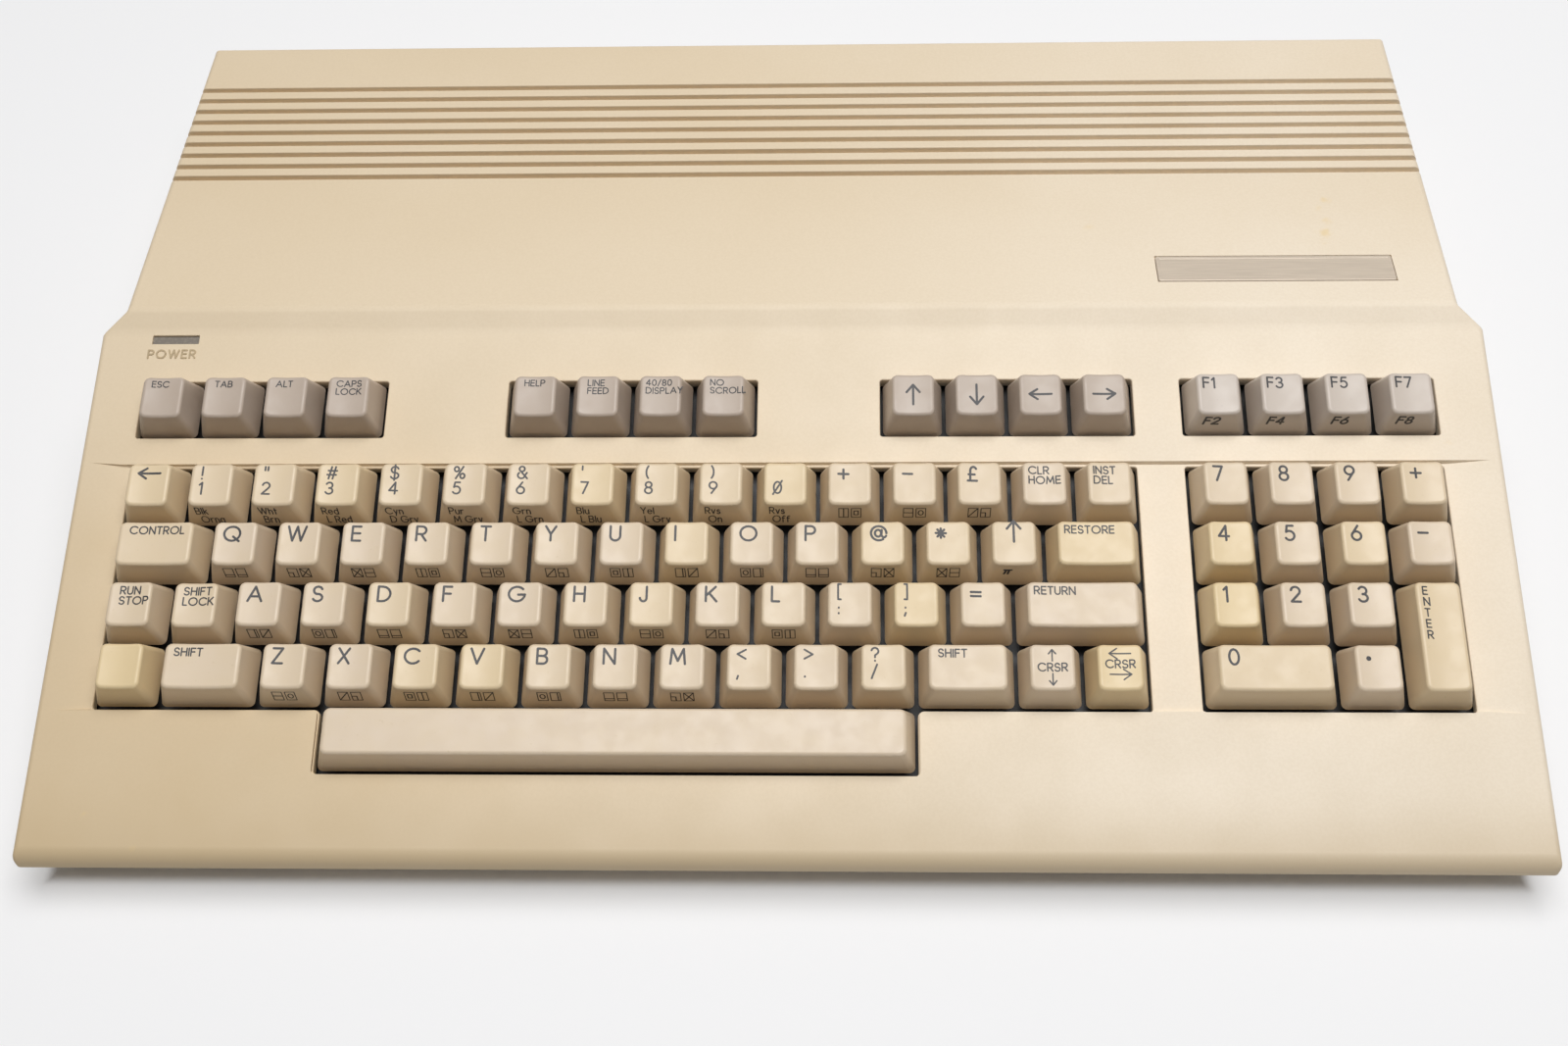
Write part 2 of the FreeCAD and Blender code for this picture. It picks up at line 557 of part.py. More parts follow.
def lower_case():
    body = new_body("tub")
    tub_form(body, "AdditiveLoft", "0", "floor_height")
    tub_form(body, "SubtractiveLoft", "tub_wall", "floor_height + tub_wall")
    towers = sketch(body, "XY_Plane", z="floor_height")
    for x, y in CASE_BOSSES:
        circle(towers, x, y, "boss_radius")
    extrude(body, towers, "seam_height - floor_height")
    posts = sketch(body, "XY_Plane", z="floor_height")
    for x, y in SMALL_POSTS:
        circle(posts, x, y, "post_radius")
    extrude(body, posts, "board_height - floor_height")
    holes = sketch(body, "XY_Plane", z="board_height")
    for x, y in SMALL_POSTS:
        circle(holes, x, y, "screw_radius + screw_play")
    extrude(body, holes, "small_screw_length", "Pocket")
    holes = sketch(body, "XY_Plane", z="floor_height")
    for x, y in CASE_BOSSES:
        circle(holes, x, y, "screw_radius + screw_play")
    extrude(body, holes, "seam_height", "Pocket", reverse=True)
    sinks = sketch(body, "XY_Plane", z="floor_height")
    for x, y in CASE_BOSSES:
        circle(sinks, x, y, "screw_head_radius + fit_gap")
    extrude(body, sinks, "counterbore_depth", "Pocket", reverse=True)
    sinks = sketch(body, "XY_Plane", z="floor_height")
    for x, y in FEET:
        circle(sinks, x, y, "foot_radius + fit_gap")
    extrude(body, sinks, "foot_sink", "Pocket", reverse=True)
    slot = sketch(body, "XY_Plane", z="floor_height")
    for left in ("-vent_left - vent_length / 2", "vent_left - vent_length / 2"):
        rectangle(slot, left, "vent_front", f"{left} + vent_length", "vent_front + vent_width")
    vents = extrude(body, slot, "tub_wall + overrun", "Pocket", reverse=True)
    repeat(body, vents, slot, "V_Axis", "vent_pitch * (vent_count - 1)", "vent_count")
    node(body, "lower_case")


FEET = [(x, y) for x in ("-foot_left", "foot_left") for y in ("-foot_front", "foot_back")]


def rubber_feet():
    foot = join("foot", [rod("foot_pad", "foot_radius - fit_gap", "floor_height + foot_sink"),
                         doc.addObject("Part::Cone", "foot_flare")])
    flare = doc.getObject("foot_flare")
    bind(flare, Radius1="foot_radius - foot_sink", Radius2="foot_radius - fit_gap / 2", Height="floor_height")
    node(gather("feet", copies("foot", foot, [(x, y, "0") for x, y in FEET])), "rubber_feet")


# Screws

def screw(name, length, head_height):
    """A pan head screw that points up from a head whose top face is at zero."""
    return join(name, [rod(name + "_shank", "screw_radius", length),
                       rod(name + "_head", "screw_head_radius", head_height, z=f"-{head_height}")])


def case_screws():
    master = screw("case_screw", "case_screw_length", "screw_head_height")
    node(gather("long_screws", copies("case_screw", master, [
        (x, y, "floor_height + counterbore_depth") for x, y in CASE_BOSSES])), "case_screws")


def small_screws():
    """The keyboard's screws, in the deck frame, and the main board's, pointing down."""
    master = screw("small_screw", "small_screw_length", "small_head_height")
    deck_screws = gather("deck_screws", copies("small_screw", master, [
        (u, v, "-frame_foot - board_thickness") for u, v in KEYBOARD_POSTS]))
    lay_on_deck(deck_screws)
    down = gather("down_screw", copies("small_screw", master, [("0", "0", "0")]))
    down.Placement = Placement(Vector(), Rotation(Vector(1, 0, 0), 180))
    board_screws = copies("board_screw", down, [(x, y, BOARD_TOP) for x, y in SMALL_POSTS])
    for link in board_screws:
        link.LinkTransform = True
    node(gather("small_screws", [deck_screws] + board_screws), "small_screws")


# Badge, lens and lamp

def on_rear_top(thing):
    thing.Placement = Placement(Vector(), Rotation(Vector(1, 0, 0), 1))
    place(thing, "0", RAMP_Y, RAMP_Z)
    bind(thing, Placement__Rotation__Angle="-top_fall")


def name_badge():
    body = new_body("badge")
    plate = sketch(body, "XY_Plane", z="-badge_cut")
    rectangle(plate, "badge_left", "badge_up", "badge_left + badge_width", "badge_up + badge_height")
    extrude(body, plate, "badge_thickness")
    round_edges(body, "badge_thickness / 3", lambda p, d: p.z > number("badge_thickness - badge_cut") - NEAR)
    on_rear_top(body)
    node(body, "name_badge")


def power_lamp():
    back, seat = "keys_to_foot - lens_back_gap", "(roof_wall + seat_gap)"
    lens = join("lens", [
        box("lens_face", "lens_width - 2 * seat_gap", "lens_height - 2 * seat_gap", f"{seat} - lens_recess",
            "seat_gap", f"{back} - lens_height + seat_gap", f"-{seat}"),
        box("lens_flange", "lens_width + 2 * lens_height", "2 * lens_height", "lens_flange", "-lens_height",
            f"{back} - lens_height * 3 / 2", f"-{seat} - lens_flange")])
    node(lens, "power_lens", on_deck=True)
    lamp = box("lamp", "lamp_width", "lamp_height", "lamp_length", "(lens_width - lamp_width) / 2",
               f"{back} - lens_height / 2 - lamp_height / 2",
               f"-{seat} - lens_flange - fit_gap - lamp_length")
    node(gather("lamp_place", [lamp]), "power_led", on_deck=True)


# Keys

def key_cap(name, across, along, bar=False):
    """A hollow cap, drawn over its own cell, with a dished top set towards the rear."""
    body = new_body(name)
    wide, long = f"(key_pitch * {across})", f"(key_pitch * {along})"
    top = "bar_top" if bar else "cap_top"
    foot = rounded(sketch(body, "XY_Plane", z="-cap_skirt"), "key_gap", "key_gap",
                   f"{wide} - key_gap", f"{long} - key_gap", "cap_corner")
    head = rounded(sketch(body, "XY_Plane", z=top), "cap_side", "cap_front",
                   f"{wide} - cap_side", f"{long} - cap_back", "cap_corner")
    loft(body, [foot, head])
    half = f"({wide} / 2 - cap_side)"
    bend = f"({half} * {half} + cap_dish * cap_dish) / (2 * cap_dish)"
    if not bar:
        dish = sketch(body, "XZ_Plane")
        circle(dish, f"{wide} / 2", f"{top} - cap_dish + {bend}", bend)
        extrude(body, dish, f"2 * ({long} + overrun)", "Pocket", "Symmetric")
    wall, inside = "cap_wall", "cap_corner - cap_wall / 2"
    inner_foot = rounded(sketch(body, "XY_Plane", z="-cap_skirt"),
                         f"(key_gap + {wall})", f"(key_gap + {wall})",
                         f"({wide} - key_gap - {wall})", f"({long} - key_gap - {wall})", inside)
    inner_head = rounded(sketch(body, "XY_Plane", z=f"{top} - cap_dish - cap_roof"),
                         f"(cap_side + {wall} / 2)", f"(cap_front + {wall} / 2)",
                         f"({wide} - cap_side - {wall} / 2)", f"({long} - cap_back - {wall} / 2)", inside)
    loft(body, [inner_foot, inner_head], "SubtractiveLoft")
    return body


def plunger(name, across, along, roof):
    """The square shaft under a cap, with a wider head against the cap's roof."""
    x, y = f"key_pitch * {across} / 2", f"key_pitch * {along} / 2"
    top = f"{roof} - cap_dish - cap_roof"
    return join(name, [
        box(name + "_shaft", "plunger_width", "plunger_width", f"{top} + plunger_foot",
            f"{x} - plunger_width / 2", f"{y} - plunger_width / 2", "-plunger_foot"),
        box(name + "_head", "plunger_width + 2 * plunger_head", "plunger_width", "plunger_head",
            f"{x} - plunger_width / 2 - plunger_head", f"{y} - plunger_width / 2", f"{top} - plunger_head")])


ROW_STARTS = ["-key_pitch", "0", "key_pitch", "key_pitch * 2", "key_pitch * 3", "strip_start"]
SPACE, LOW, HOME, HIGH, NUMBERS, STRIP = range(6)

# Each key group: its name, then each key's kind, column in key widths and row

KEY_GROUPS = {
    "escape_tab_alt_keys": [("one", "0", STRIP), ("one", "1", STRIP), ("one", "2", STRIP)],
    "caps_lock_key": [("one", "3", STRIP)],
    "help_feed_scroll_keys": [("one", "6", STRIP), ("one", "7", STRIP), ("one", "9", STRIP)],
    "display_key": [("one", "8", STRIP)],
    "arrow_keys": [("one", str(12 + i), STRIP) for i in range(4)],
    "function_keys": [("one", f"pad + {i}", STRIP) for i in range(4)],
    "back_arrow_key": [("one", "0", NUMBERS)],
    "digit_keys_one_to_five": [("one", str(1 + i), NUMBERS) for i in range(5)],
    "digit_keys_six_to_zero": [("one", str(6 + i), NUMBERS) for i in range(5)],
    "number_row_end_keys": [("one", str(11 + i), NUMBERS) for i in range(5)],
    "control_key": [("one_and_half", "0", HIGH)],
    "letter_keys_q_to_t": [("one", str(1.5 + i), HIGH) for i in range(5)],
    "letter_keys_y_to_p": [("one", str(6.5 + i), HIGH) for i in range(5)],
    "high_symbol_keys": [("one", str(11.5 + i), HIGH) for i in range(3)],
    "restore_key": [("one_and_half", "14.5", HIGH)],
    "stop_key": [("one", "0", HOME)],
    "shift_lock_key": [("one", "1", HOME)],
    "letter_keys_a_to_g": [("one", str(2 + i), HOME) for i in range(5)],
    "letter_keys_h_to_l": [("one", str(7 + i), HOME) for i in range(4)],
    "home_symbol_keys": [("one", str(11 + i), HOME) for i in range(3)],
    "return_key": [("two", "14", HOME)],
    "corner_key": [("one", "0", LOW)],
    "left_shift_key": [("one_and_half", "1", LOW)],
    "letter_keys_z_to_b": [("one", str(2.5 + i), LOW) for i in range(5)],
    "low_keys_n_to_slash": [("one", str(7.5 + i), LOW) for i in range(5)],
    "right_shift_key": [("one_and_half", "12.5", LOW)],
    "cursor_keys": [("one", "14", LOW), ("one", "15", LOW)],
    "space_bar": [("bar", "3.5", SPACE)],
    "pad_digit_keys": [("one", f"pad + {i % 3}", HOME + i // 3) for i in range(9)],
    "pad_sign_keys": [("one", "pad + 3", HIGH), ("one", "pad + 3", NUMBERS), ("one", "pad + 2", LOW)],
    "pad_enter_key": [("tall", "pad + 3", LOW)],
    "pad_zero_key": [("two", "pad + 0", LOW)],
}
KEY_SIZES = {"one": ("1", "1"), "one_and_half": ("1.5", "1"), "two": ("2", "1"), "tall": ("1", "2"),
             "bar": ("9", "1")}


def column_u(column):
    if column.startswith("pad + "):
        return f"(pad_start + key_pitch * {column[6:]})"
    return f"(key_pitch * {column})"


def space_bar_lugs():
    """The two lugs inside the space bar that take the ends of its wire."""
    lugs = []
    for name, side in (("left_lug", "-1"), ("right_lug", "1")):
        middle = f"key_pitch * 4.5 + {side} * (wire_span / 2 + wire_hook / 2)"
        end_v = "key_pitch - wire_back - wire_arm_reach"
        block = box(name, "lug_width", "lug_length", "bar_top - cap_dish - cap_roof / 2 + lug_drop",
                    f"{middle} - lug_width / 2", f"{end_v} - lug_length / 2", "-lug_drop")
        slot = box(name + "_slot", "lug_width + overrun", "lug_slot_length", "lug_slot_height",
                   f"{middle} - lug_width / 2 - overrun / 2",
                   f"{end_v} - lug_slot_length / 2 - (lug_slot_length - 2 * wire_radius) / 4",
                   "wire_arm_rise - wire_up - lug_slot_height / 2")
        lugs.append(cut(name + "_drilled", block, [slot]))
    return lugs


def keys():
    caps, plungers = {}, {}
    for kind, (across, along) in KEY_SIZES.items():
        is_bar = kind == "bar"
        caps[kind] = key_cap("cap_" + kind, across, along, is_bar)
        plungers[kind] = plunger("plunger_" + kind, across, along, "bar_top" if is_bar else "cap_top")
    caps["bar"] = join("space_bar_cap", [caps["bar"]] + space_bar_lugs())
    for label, members in KEY_GROUPS.items():
        links = []
        for kind, column, row in members:
            drop = "-lock_drop" if label == "shift_lock_key" else "0"
            spot = [(column_u(column), ROW_STARTS[row], drop)]
            links += copies(label, caps[kind], spot) + copies(label, plungers[kind], spot)
        node(gather(label, links), label, on_deck=True)


def key_middles():
    """The middle of every key in the deck frame, for its guide and spring."""
    spots = []
    for members in KEY_GROUPS.values():
        for kind, column, row in members:
            across, along = KEY_SIZES[kind]
            spots.append((f"{column_u(column)} + key_pitch * {across} / 2",
                          f"{ROW_STARTS[row]} + key_pitch * {along} / 2"))
    return spots


# Keyboard frame, springs, board and wire

def keyboard_frame():
    wide = f"{PLATE_RIGHT} + frame_side"
    long = "frame_front + strip_start + key_pitch + frame_back"
    plate = box("frame_block", wide, long, "frame_foot - frame_top",
                "-frame_side", "-frame_front", "-frame_foot")
    hollow = box("frame_hollow", f"{wide} - 2 * frame_rim", f"{long} - 2 * frame_rim",
                 "frame_foot - frame_top - frame_plate", "frame_rim - frame_side",
                 "frame_rim - frame_front", "-frame_foot")
    tray = cut("frame_tray", plate, [hollow])
    inner = "plunger_width + 2 * fit_gap"
    hole = gather("guide_hole", [box("guide_square", inner, inner, "frame_plate + 2 * overrun",
                                     f"-({inner}) / 2", f"-({inner}) / 2",
                                     "-frame_top - frame_plate - overrun")])
    spots = [(u, v, "0") for u, v in key_middles()]
    collars = [rod("frame_collar", "keyboard_post_radius", "frame_foot - frame_top", u, v, "-frame_foot")
               for u, v in KEYBOARD_POSTS]
    clips = []
    for side in ("-1", "1"):
        clips.append(box("wire_clip", "clip_width", "2 * (wire_radius + screw_play + clip_wall)",
                         "frame_top - wire_up + wire_radius + screw_play",
                         f"key_pitch * 8 + {side} * clip_at - clip_width / 2",
                         "-wire_back - wire_radius - screw_play - clip_wall", "-frame_top"))
    solid = join("frame_solid", [tray] + collars + clips)
    tools = copies("guide_hole", hole, spots)
    for u, v in KEYBOARD_POSTS:
        tools.append(rod("frame_screw_hole", "screw_radius + screw_play", "frame_foot", u, v,
                         "-frame_foot - overrun"))
    groove_left = "key_pitch * 8 - wire_span / 2"
    tools.append(rod("wire_groove", "wire_radius + screw_play", "wire_span", groove_left, "-wire_back",
                     "-wire_up", "x"))
    tools.append(box("wire_mouth", "wire_span", "2 * (wire_radius - screw_play)", "2 * wire_radius",
                     groove_left, "-wire_back - wire_radius + screw_play", "-wire_up"))
    node(cut("frame_drilled", solid, tools), "keyboard_frame", on_deck=True)


def key_springs():
    outside = rod("spring_outside", "spring_radius + spring_wall", "spring_height", z="-frame_top")
    inside = rod("spring_inside", "spring_radius", "spring_height + 2 * overrun", z="-frame_top - overrun")
    ring = cut("spring", outside, [inside])
    node(gather("springs", copies("spring", ring, [(u, v, "0") for u, v in key_middles()])), "key_springs",
         on_deck=True)


def keyboard_board():
    board = box("key_board", f"{PLATE_RIGHT} + frame_side",
                "frame_front + strip_start + key_pitch + frame_back", "board_thickness",
                "-frame_side", "-frame_front", "-frame_foot - board_thickness")
    holes = [rod("key_board_hole", "screw_radius + screw_play", "board_thickness + 2 * overrun", u, v,
                 "-frame_foot - board_thickness - overrun") for u, v in KEYBOARD_POSTS]
    node(cut("key_board_drilled", board, holes), "keyboard_board", on_deck=True)


def space_bar_wire():
    """A bent wire that pivots in two clips and holds the bar level."""
    left, right = "key_pitch * 8 - wire_span / 2", "key_pitch * 8 + wire_span / 2"
    start = Vector(number(left), -number("wire_back"), -number("wire_up"))
    end = Vector(number(right), -number("wire_back"), -number("wire_up"))
    reach = Vector(0, -number("wire_arm_reach"), number("wire_arm_rise"))
    hook = Vector(number("wire_hook"), 0, 0)
    radius = number("wire_radius")
    spots = [start + reach - hook, start + reach, start, end, end + reach, end + reach + hook]
    shape = None
    for a, b in zip(spots, spots[1:]):
        piece = Part.makeCylinder(radius, (b - a).Length, a, b - a)
        shape = piece if shape is None else shape.fuse([piece, Part.makeSphere(radius, a)])
    wire = doc.addObject("Part::Feature", "bar_wire")
    wire.Shape = shape
    node(wire, "space_bar_wire", on_deck=True)


# Main board

def main_board():
    board = box("main_plate", "board_left + board_right", "board_front + board_back", "board_thickness",
                "-board_left", "-board_front", "board_height")
    fingers = []
    for name, at, length in (("tape_fingers", "tape_at", "tape_length"),
                             ("user_fingers", "-user_at", "user_length")):
        fingers.append(box(name, length, "finger_reach + overrun", "board_thickness", f"{at} - {length} / 2",
                           "board_back - overrun", "board_height"))
    holes = [rod("main_hole", "screw_radius + screw_play", "board_thickness + 2 * overrun", x, y,
                 "board_height - overrun") for x, y in SMALL_POSTS]
    node(cut("main_drilled", join("main_solid", [board] + fingers), holes), "main_board")


def rf_shield():
    length, depth = "shield_left + shield_right", "shield_front + shield_back"
    outer = box("shield_outside", length, depth, "shield_height", "-shield_left", "-shield_front", BOARD_TOP)
    inner = box("shield_inside", f"{length} - 2 * shield_sheet", f"{depth} - 2 * shield_sheet",
                "shield_height - shield_sheet", "shield_sheet - shield_left", "shield_sheet - shield_front",
                BOARD_TOP)
    hole = rod("shield_hole", "shield_hole_radius", "shield_sheet + 2 * overrun")
    spots = []
    columns, rows = int(number("shield_hole_columns")), int(number("shield_hole_rows"))
    for i in range(columns):
        for k in range(rows):
            spots.append((f"(shield_right - shield_left) / 2 + ({i} - (shield_hole_columns - 1) / 2)"
                          " * shield_hole_pitch",
                          f"(shield_back - shield_front) / 2 + ({k} - (shield_hole_rows - 1) / 2)"
                          " * shield_hole_pitch", f"{BOARD_TOP} + shield_height - shield_sheet - overrun"))
    node(cut("shield_drilled", outer, [inner] + copies("shield_hole", hole, spots)), "rf_shield")


def chip(name, length, width):
    """A flat package between two strips of legs that stand on the board."""
    parts = [box(name + "_body", length, width, "chip_height - chip_standoff", z="chip_standoff")]
    for side in ("-pin_sheet", width):
        parts.append(box(name + "_legs", f"{length} - 2 * pin_reach", "pin_sheet", "chip_height / 2",
                         "pin_reach", side))
    return join(name, parts)


def chips():
    first_x, first_y = "shield_sheet + pin_reach - shield_left", "pin_reach + shield_sheet - shield_front"
    big = chip("big_chip", "chip_length", "chip_width")
    spots = []
    for i in range(int(number("chip_count"))):
        spots.append((f"{first_x} + chip_gap + {i % 2} * (chip_length + chip_gap)",
                      f"{first_y} + chip_gap + {i // 2} * (chip_width + 2 * chip_gap)", BOARD_TOP))
    node(gather("big_chips", copies("big_chip", big, spots)), "main_chips")
    small = chip("small_chip", "memory_length", "memory_width")
    spots = []
    for i in range(int(number("memory_count"))):
        spots.append((f"{first_x} + 4 * chip_gap + 2 * chip_length + {i % 2} * (memory_length + chip_gap)",
                      f"{first_y} + chip_gap + {i // 2} * (memory_width + 2 * chip_gap)", BOARD_TOP))
    node(gather("small_chips", copies("small_chip", small, spots)), "memory_chips")


# Rear sockets

FACE_Y = f"({REAR_WALL_Y} - rear_lean - shell_wall - seat_gap)"


def cartridge_socket():
    block = box("cartridge_block", "cartridge_length", "cartridge_depth", "cartridge_width",
                "cartridge_at - cartridge_length / 2", f"{FACE_Y} - cartridge_depth", BOARD_TOP)
    slot = box("cartridge_slot", "cartridge_slot_length", "cartridge_slot_depth + overrun",
               "cartridge_slot_width", "cartridge_at - cartridge_slot_length / 2",
               f"{FACE_Y} - cartridge_slot_depth",
               f"{BOARD_TOP} + cartridge_width / 2 - cartridge_slot_width / 2")
    node(cut("cartridge_cut", block, [slot]), "cartridge_socket")


def round_socket(name, at):
    middle_z = f"{BOARD_TOP} + din_width / 2"
    block = box(name + "_block", "din_width", "din_depth", "din_width", f"{at} - din_width / 2",
                f"{FACE_Y} - din_depth", BOARD_TOP)
    ring = rod(name + "_ring", "din_radius + din_wall", "socket_reach + seat_gap", at,
               f"{FACE_Y} - seat_gap", middle_z, "y")
    bore = cut(name + "_bored", join(name + "_solid", [block, ring]), [
        rod(name + "_bore", "din_radius", "din_cut + socket_reach + overrun", at, f"{FACE_Y} - din_cut",
            middle_z, "y")])
    core = rod(name + "_core", "din_core_radius", "din_cut", at, f"{FACE_Y} - din_cut - seat_gap",
               middle_z, "y")
    pins = []
    for i in range(int(number("din_pins"))):
        turn = f"({i} + 0.5) * 360 / (din_pins + 1)"
        pins.append(rod(name + "_pin_hole", "din_pin_radius", "din_cut + overrun",
                        f"{at} + din_pin_ring * sin({turn})", f"{FACE_Y} - din_cut / 2",
                        f"{middle_z} - din_pin_ring * cos({turn})", "y"))
    return cut(name, join(name + "_whole", [bore, core]), pins)


def round_sockets():
    node(gather("round_pair", [round_socket("serial_socket", "serial_at"),
                               round_socket("video_socket", "video_at")]), "round_sockets")


def modulator():
    back = FACE_Y
    can = box("can", "modulator_width", "modulator_depth", "modulator_height",
              "modulator_at - modulator_width / 2", f"{back} - modulator_depth", BOARD_TOP)
    jack = rod("jack", "jack_radius", "jack_reach", "modulator_at - jack_at", f"{back} - seat_gap",
               f"{BOARD_TOP} + jack_up", "y")
    bore = rod("jack_bore", "jack_bore", "2 * jack_reach", "modulator_at - jack_at", f"{back} - seat_gap",
               f"{BOARD_TOP} + jack_up", "y")
    slot = box("slider_slot", "slider_width + slider_travel + 2 * fit_gap", "slider_length",
               "slider_height + 2 * fit_gap",
               "modulator_at + switch_at - (slider_width + slider_travel) / 2 - fit_gap",
               f"{back} - slider_length / 2 - fit_gap",
               f"{BOARD_TOP} + switch_up - slider_height / 2 - fit_gap")
    node(cut("modulator_cut", join("modulator_solid", [can, jack]), [bore, slot]), "aerial_modulator")
    slider = box("slider", "slider_width", "slider_length", "slider_height",
                 "modulator_at + switch_at - (slider_width + slider_travel) / 2",
                 f"{back} - slider_length / 2", f"{BOARD_TOP} + switch_up - slider_height / 2")
    node(slider, "channel_slider")


def nine_pin(name, pins):
    """A nine-pin socket that faces +Y with its flange's face at zero, pins or holes in two rows."""
    block = box(name + "_block", "plug_face_length", "plug_depth", "plug_height + plug_up - plug_height / 2",
                "-plug_face_length / 2", "-plug_depth", "-plug_up")
    body = new_body(name + "_rim")
    rim = sketch(body, "XZ_Plane")
    slant = "plug_height / 6"
    face = [("-plug_length / 2 + 2 * plug_sheet", "-plug_height / 2 + 2 * plug_sheet"),
            ("plug_length / 2 - 2 * plug_sheet", "-plug_height / 2 + 2 * plug_sheet"),
            (f"plug_length / 2 - 2 * plug_sheet - {slant}", "plug_height / 2 - 2 * plug_sheet"),
            (f"-plug_length / 2 + 2 * plug_sheet + {slant}", "plug_height / 2 - 2 * plug_sheet")]
    outline(rim, face)
    extrude(body, rim, "socket_reach", "Pad", reverse=True)
    if not pins:
        tools = []
        for row, count in (("1", 5), ("-1", 4)):
            for i in range(count):
                tools.append(rod(name + "_hole", "plug_pin_radius", "2 * socket_reach",
                                 f"({i} - {(count - 1) / 2}) * plug_pin_pitch", "-socket_reach / 2",
                                 f"-({row}) * plug_row_pitch / 2", "y"))
        return cut(name, join(name + "_solid", [block, body]), tools)
    hollow = new_body(name + "_hollow")
    inside = sketch(hollow, "XZ_Plane")
    outline(inside, [(f"({x}) * (1 - 2 * plug_sheet / plug_length)",
                      f"({z}) * (1 - 2 * plug_sheet / plug_height)") for x, z in face])
    extrude(hollow, inside, "2 * socket_reach", "Pad", "Symmetric")
    solid = cut(name + "_open", join(name + "_solid", [block, body]), [hollow])
    studs = []
    for row, count in (("1", 5), ("-1", 4)):
        for i in range(count):
            studs.append(rod(name + "_stud", "plug_pin_radius", "2 * socket_reach - plug_core_sink",
                             f"({i} - {(count - 1) / 2}) * plug_pin_pitch", "-socket_reach - seat_gap",
                             f"({row}) * plug_row_pitch / 2", "y"))
    return join(name, [solid] + studs)


def nine_pin_sockets():
    monitor = nine_pin("monitor_plate", pins=False)
    link = copies("monitor", monitor, [("-monitor_at", FACE_Y, f"{BOARD_TOP} + plug_up")])[0]
    node(gather("monitor_place", [link]), "monitor_socket")
    master = nine_pin("joystick_plate", pins=True)
    turned = gather("joystick_turned", copies("joystick", master, [("0", "0", "0")]))
    turned.Placement = Placement(Vector(), Rotation(Vector(0, 0, 1), -90))
    links = copies("joystick_place", turned, [(SIDE_FACE_X, "joystick_high", f"{BOARD_TOP} + plug_up"),
                                              (SIDE_FACE_X, "joystick_low", f"{BOARD_TOP} + plug_up")])
    for link in links:
        link.LinkTransform = True
    node(gather("joysticks", links), "controller_sockets")


# Right side

SIDE_FACE_X = f"({SIDE_WALL_X} - shell_wall - socket_gap - plug_height * {SIDE_TAPER})"


def power_socket():
    block = box("power_block", "power_depth", "power_width", "power_height", f"{SIDE_FACE_X} - power_depth",
                "power_at - power_width / 2", BOARD_TOP)
    bore = rod("power_bore", "power_bore_radius", "power_cut + overrun", f"{SIDE_FACE_X} - power_cut",
               "power_at", f"{BOARD_TOP} + power_height / 2", "x")
    pins = []
    for y, z in (("-1", "-1"), ("1", "-1"), ("-1", "1"), ("1", "1")):
        pins.append(rod("power_pin", "din_pin_radius", "power_cut", f"{SIDE_FACE_X} - power_cut - seat_gap",
                        f"power_at + {y} * din_pin_ring",
                        f"{BOARD_TOP} + power_height / 2 + {z} * din_pin_ring / 2", "x"))
    node(join("power_whole", [cut("power_bored", block, [bore])] + pins), "power_socket")


ROCKER_X = f"({SIDE_FACE_X} - rocker_pivot + shell_wall)"
ROCKER_Z = f"({BOARD_TOP} + rocker_up)"


def power_switch():
    outer_half = "(rocker_reach + socket_gap + switch_wall)"
    outer_up = "(rocker_height / 2 + socket_gap + switch_wall)"
    face = SIDE_FACE_X
    block = box("switch_block", "switch_depth", f"2 * {outer_half}", f"rocker_up + {outer_up}",
                f"{face} - switch_depth", f"rocker_at - {outer_half}", BOARD_TOP)
    room = box("switch_room", "switch_depth - switch_wall + overrun", "2 * (rocker_reach + socket_gap)",
               "rocker_height + 2 * fit_gap", f"{face} - switch_depth + switch_wall",
               "rocker_at - rocker_reach - socket_gap", f"{ROCKER_Z} - rocker_height / 2 - fit_gap")
    pivot = rod("switch_pivot", "axle_radius + axle_play", "rocker_height + 2 * fit_gap + switch_wall",
                ROCKER_X, "rocker_at", f"{ROCKER_Z} - rocker_height / 2 - fit_gap - switch_wall / 2")
    node(cut("switch_open", block, [room, pivot]), "power_switch_housing")
    body = new_body("rocker")
    plan = sketch(body, "XY_Plane")
    rise = "(shell_wall + rocker_pivot + socket_gap)"
    dip = "rocker_reach * tan(rocker_half_angle)"
    tip = f"(sqrt(rocker_reach * rocker_reach - {rise} * {rise} / 4))"
    outline(plan, [("0", "-rocker_heel"), ("0", "rocker_heel"), (f"{rise} / 2", tip),
                   (f"{rise} - {dip} / 2", "rocker_shoulder"), (f"{rise} - {dip}", "0"),
                   (f"{rise} - {dip} / 2", "-rocker_shoulder"), (f"{rise} / 2", f"-{tip}")])
    extrude(body, plan, "rocker_height", "Pad", "Symmetric")
    axle = sketch(body, "XY_Plane")
    circle(axle, "0", "0", "axle_radius")
    extrude(body, axle, "rocker_height + switch_wall / 2", "Pad", "Symmetric")
    body.Placement = Placement(Vector(), Rotation(Vector(0, 0, 1), 1))
    place(body, ROCKER_X, "rocker_at", ROCKER_Z)
    bind(body, Placement__Rotation__Angle="-rocker_half_angle")
    node(body, "power_rocker")


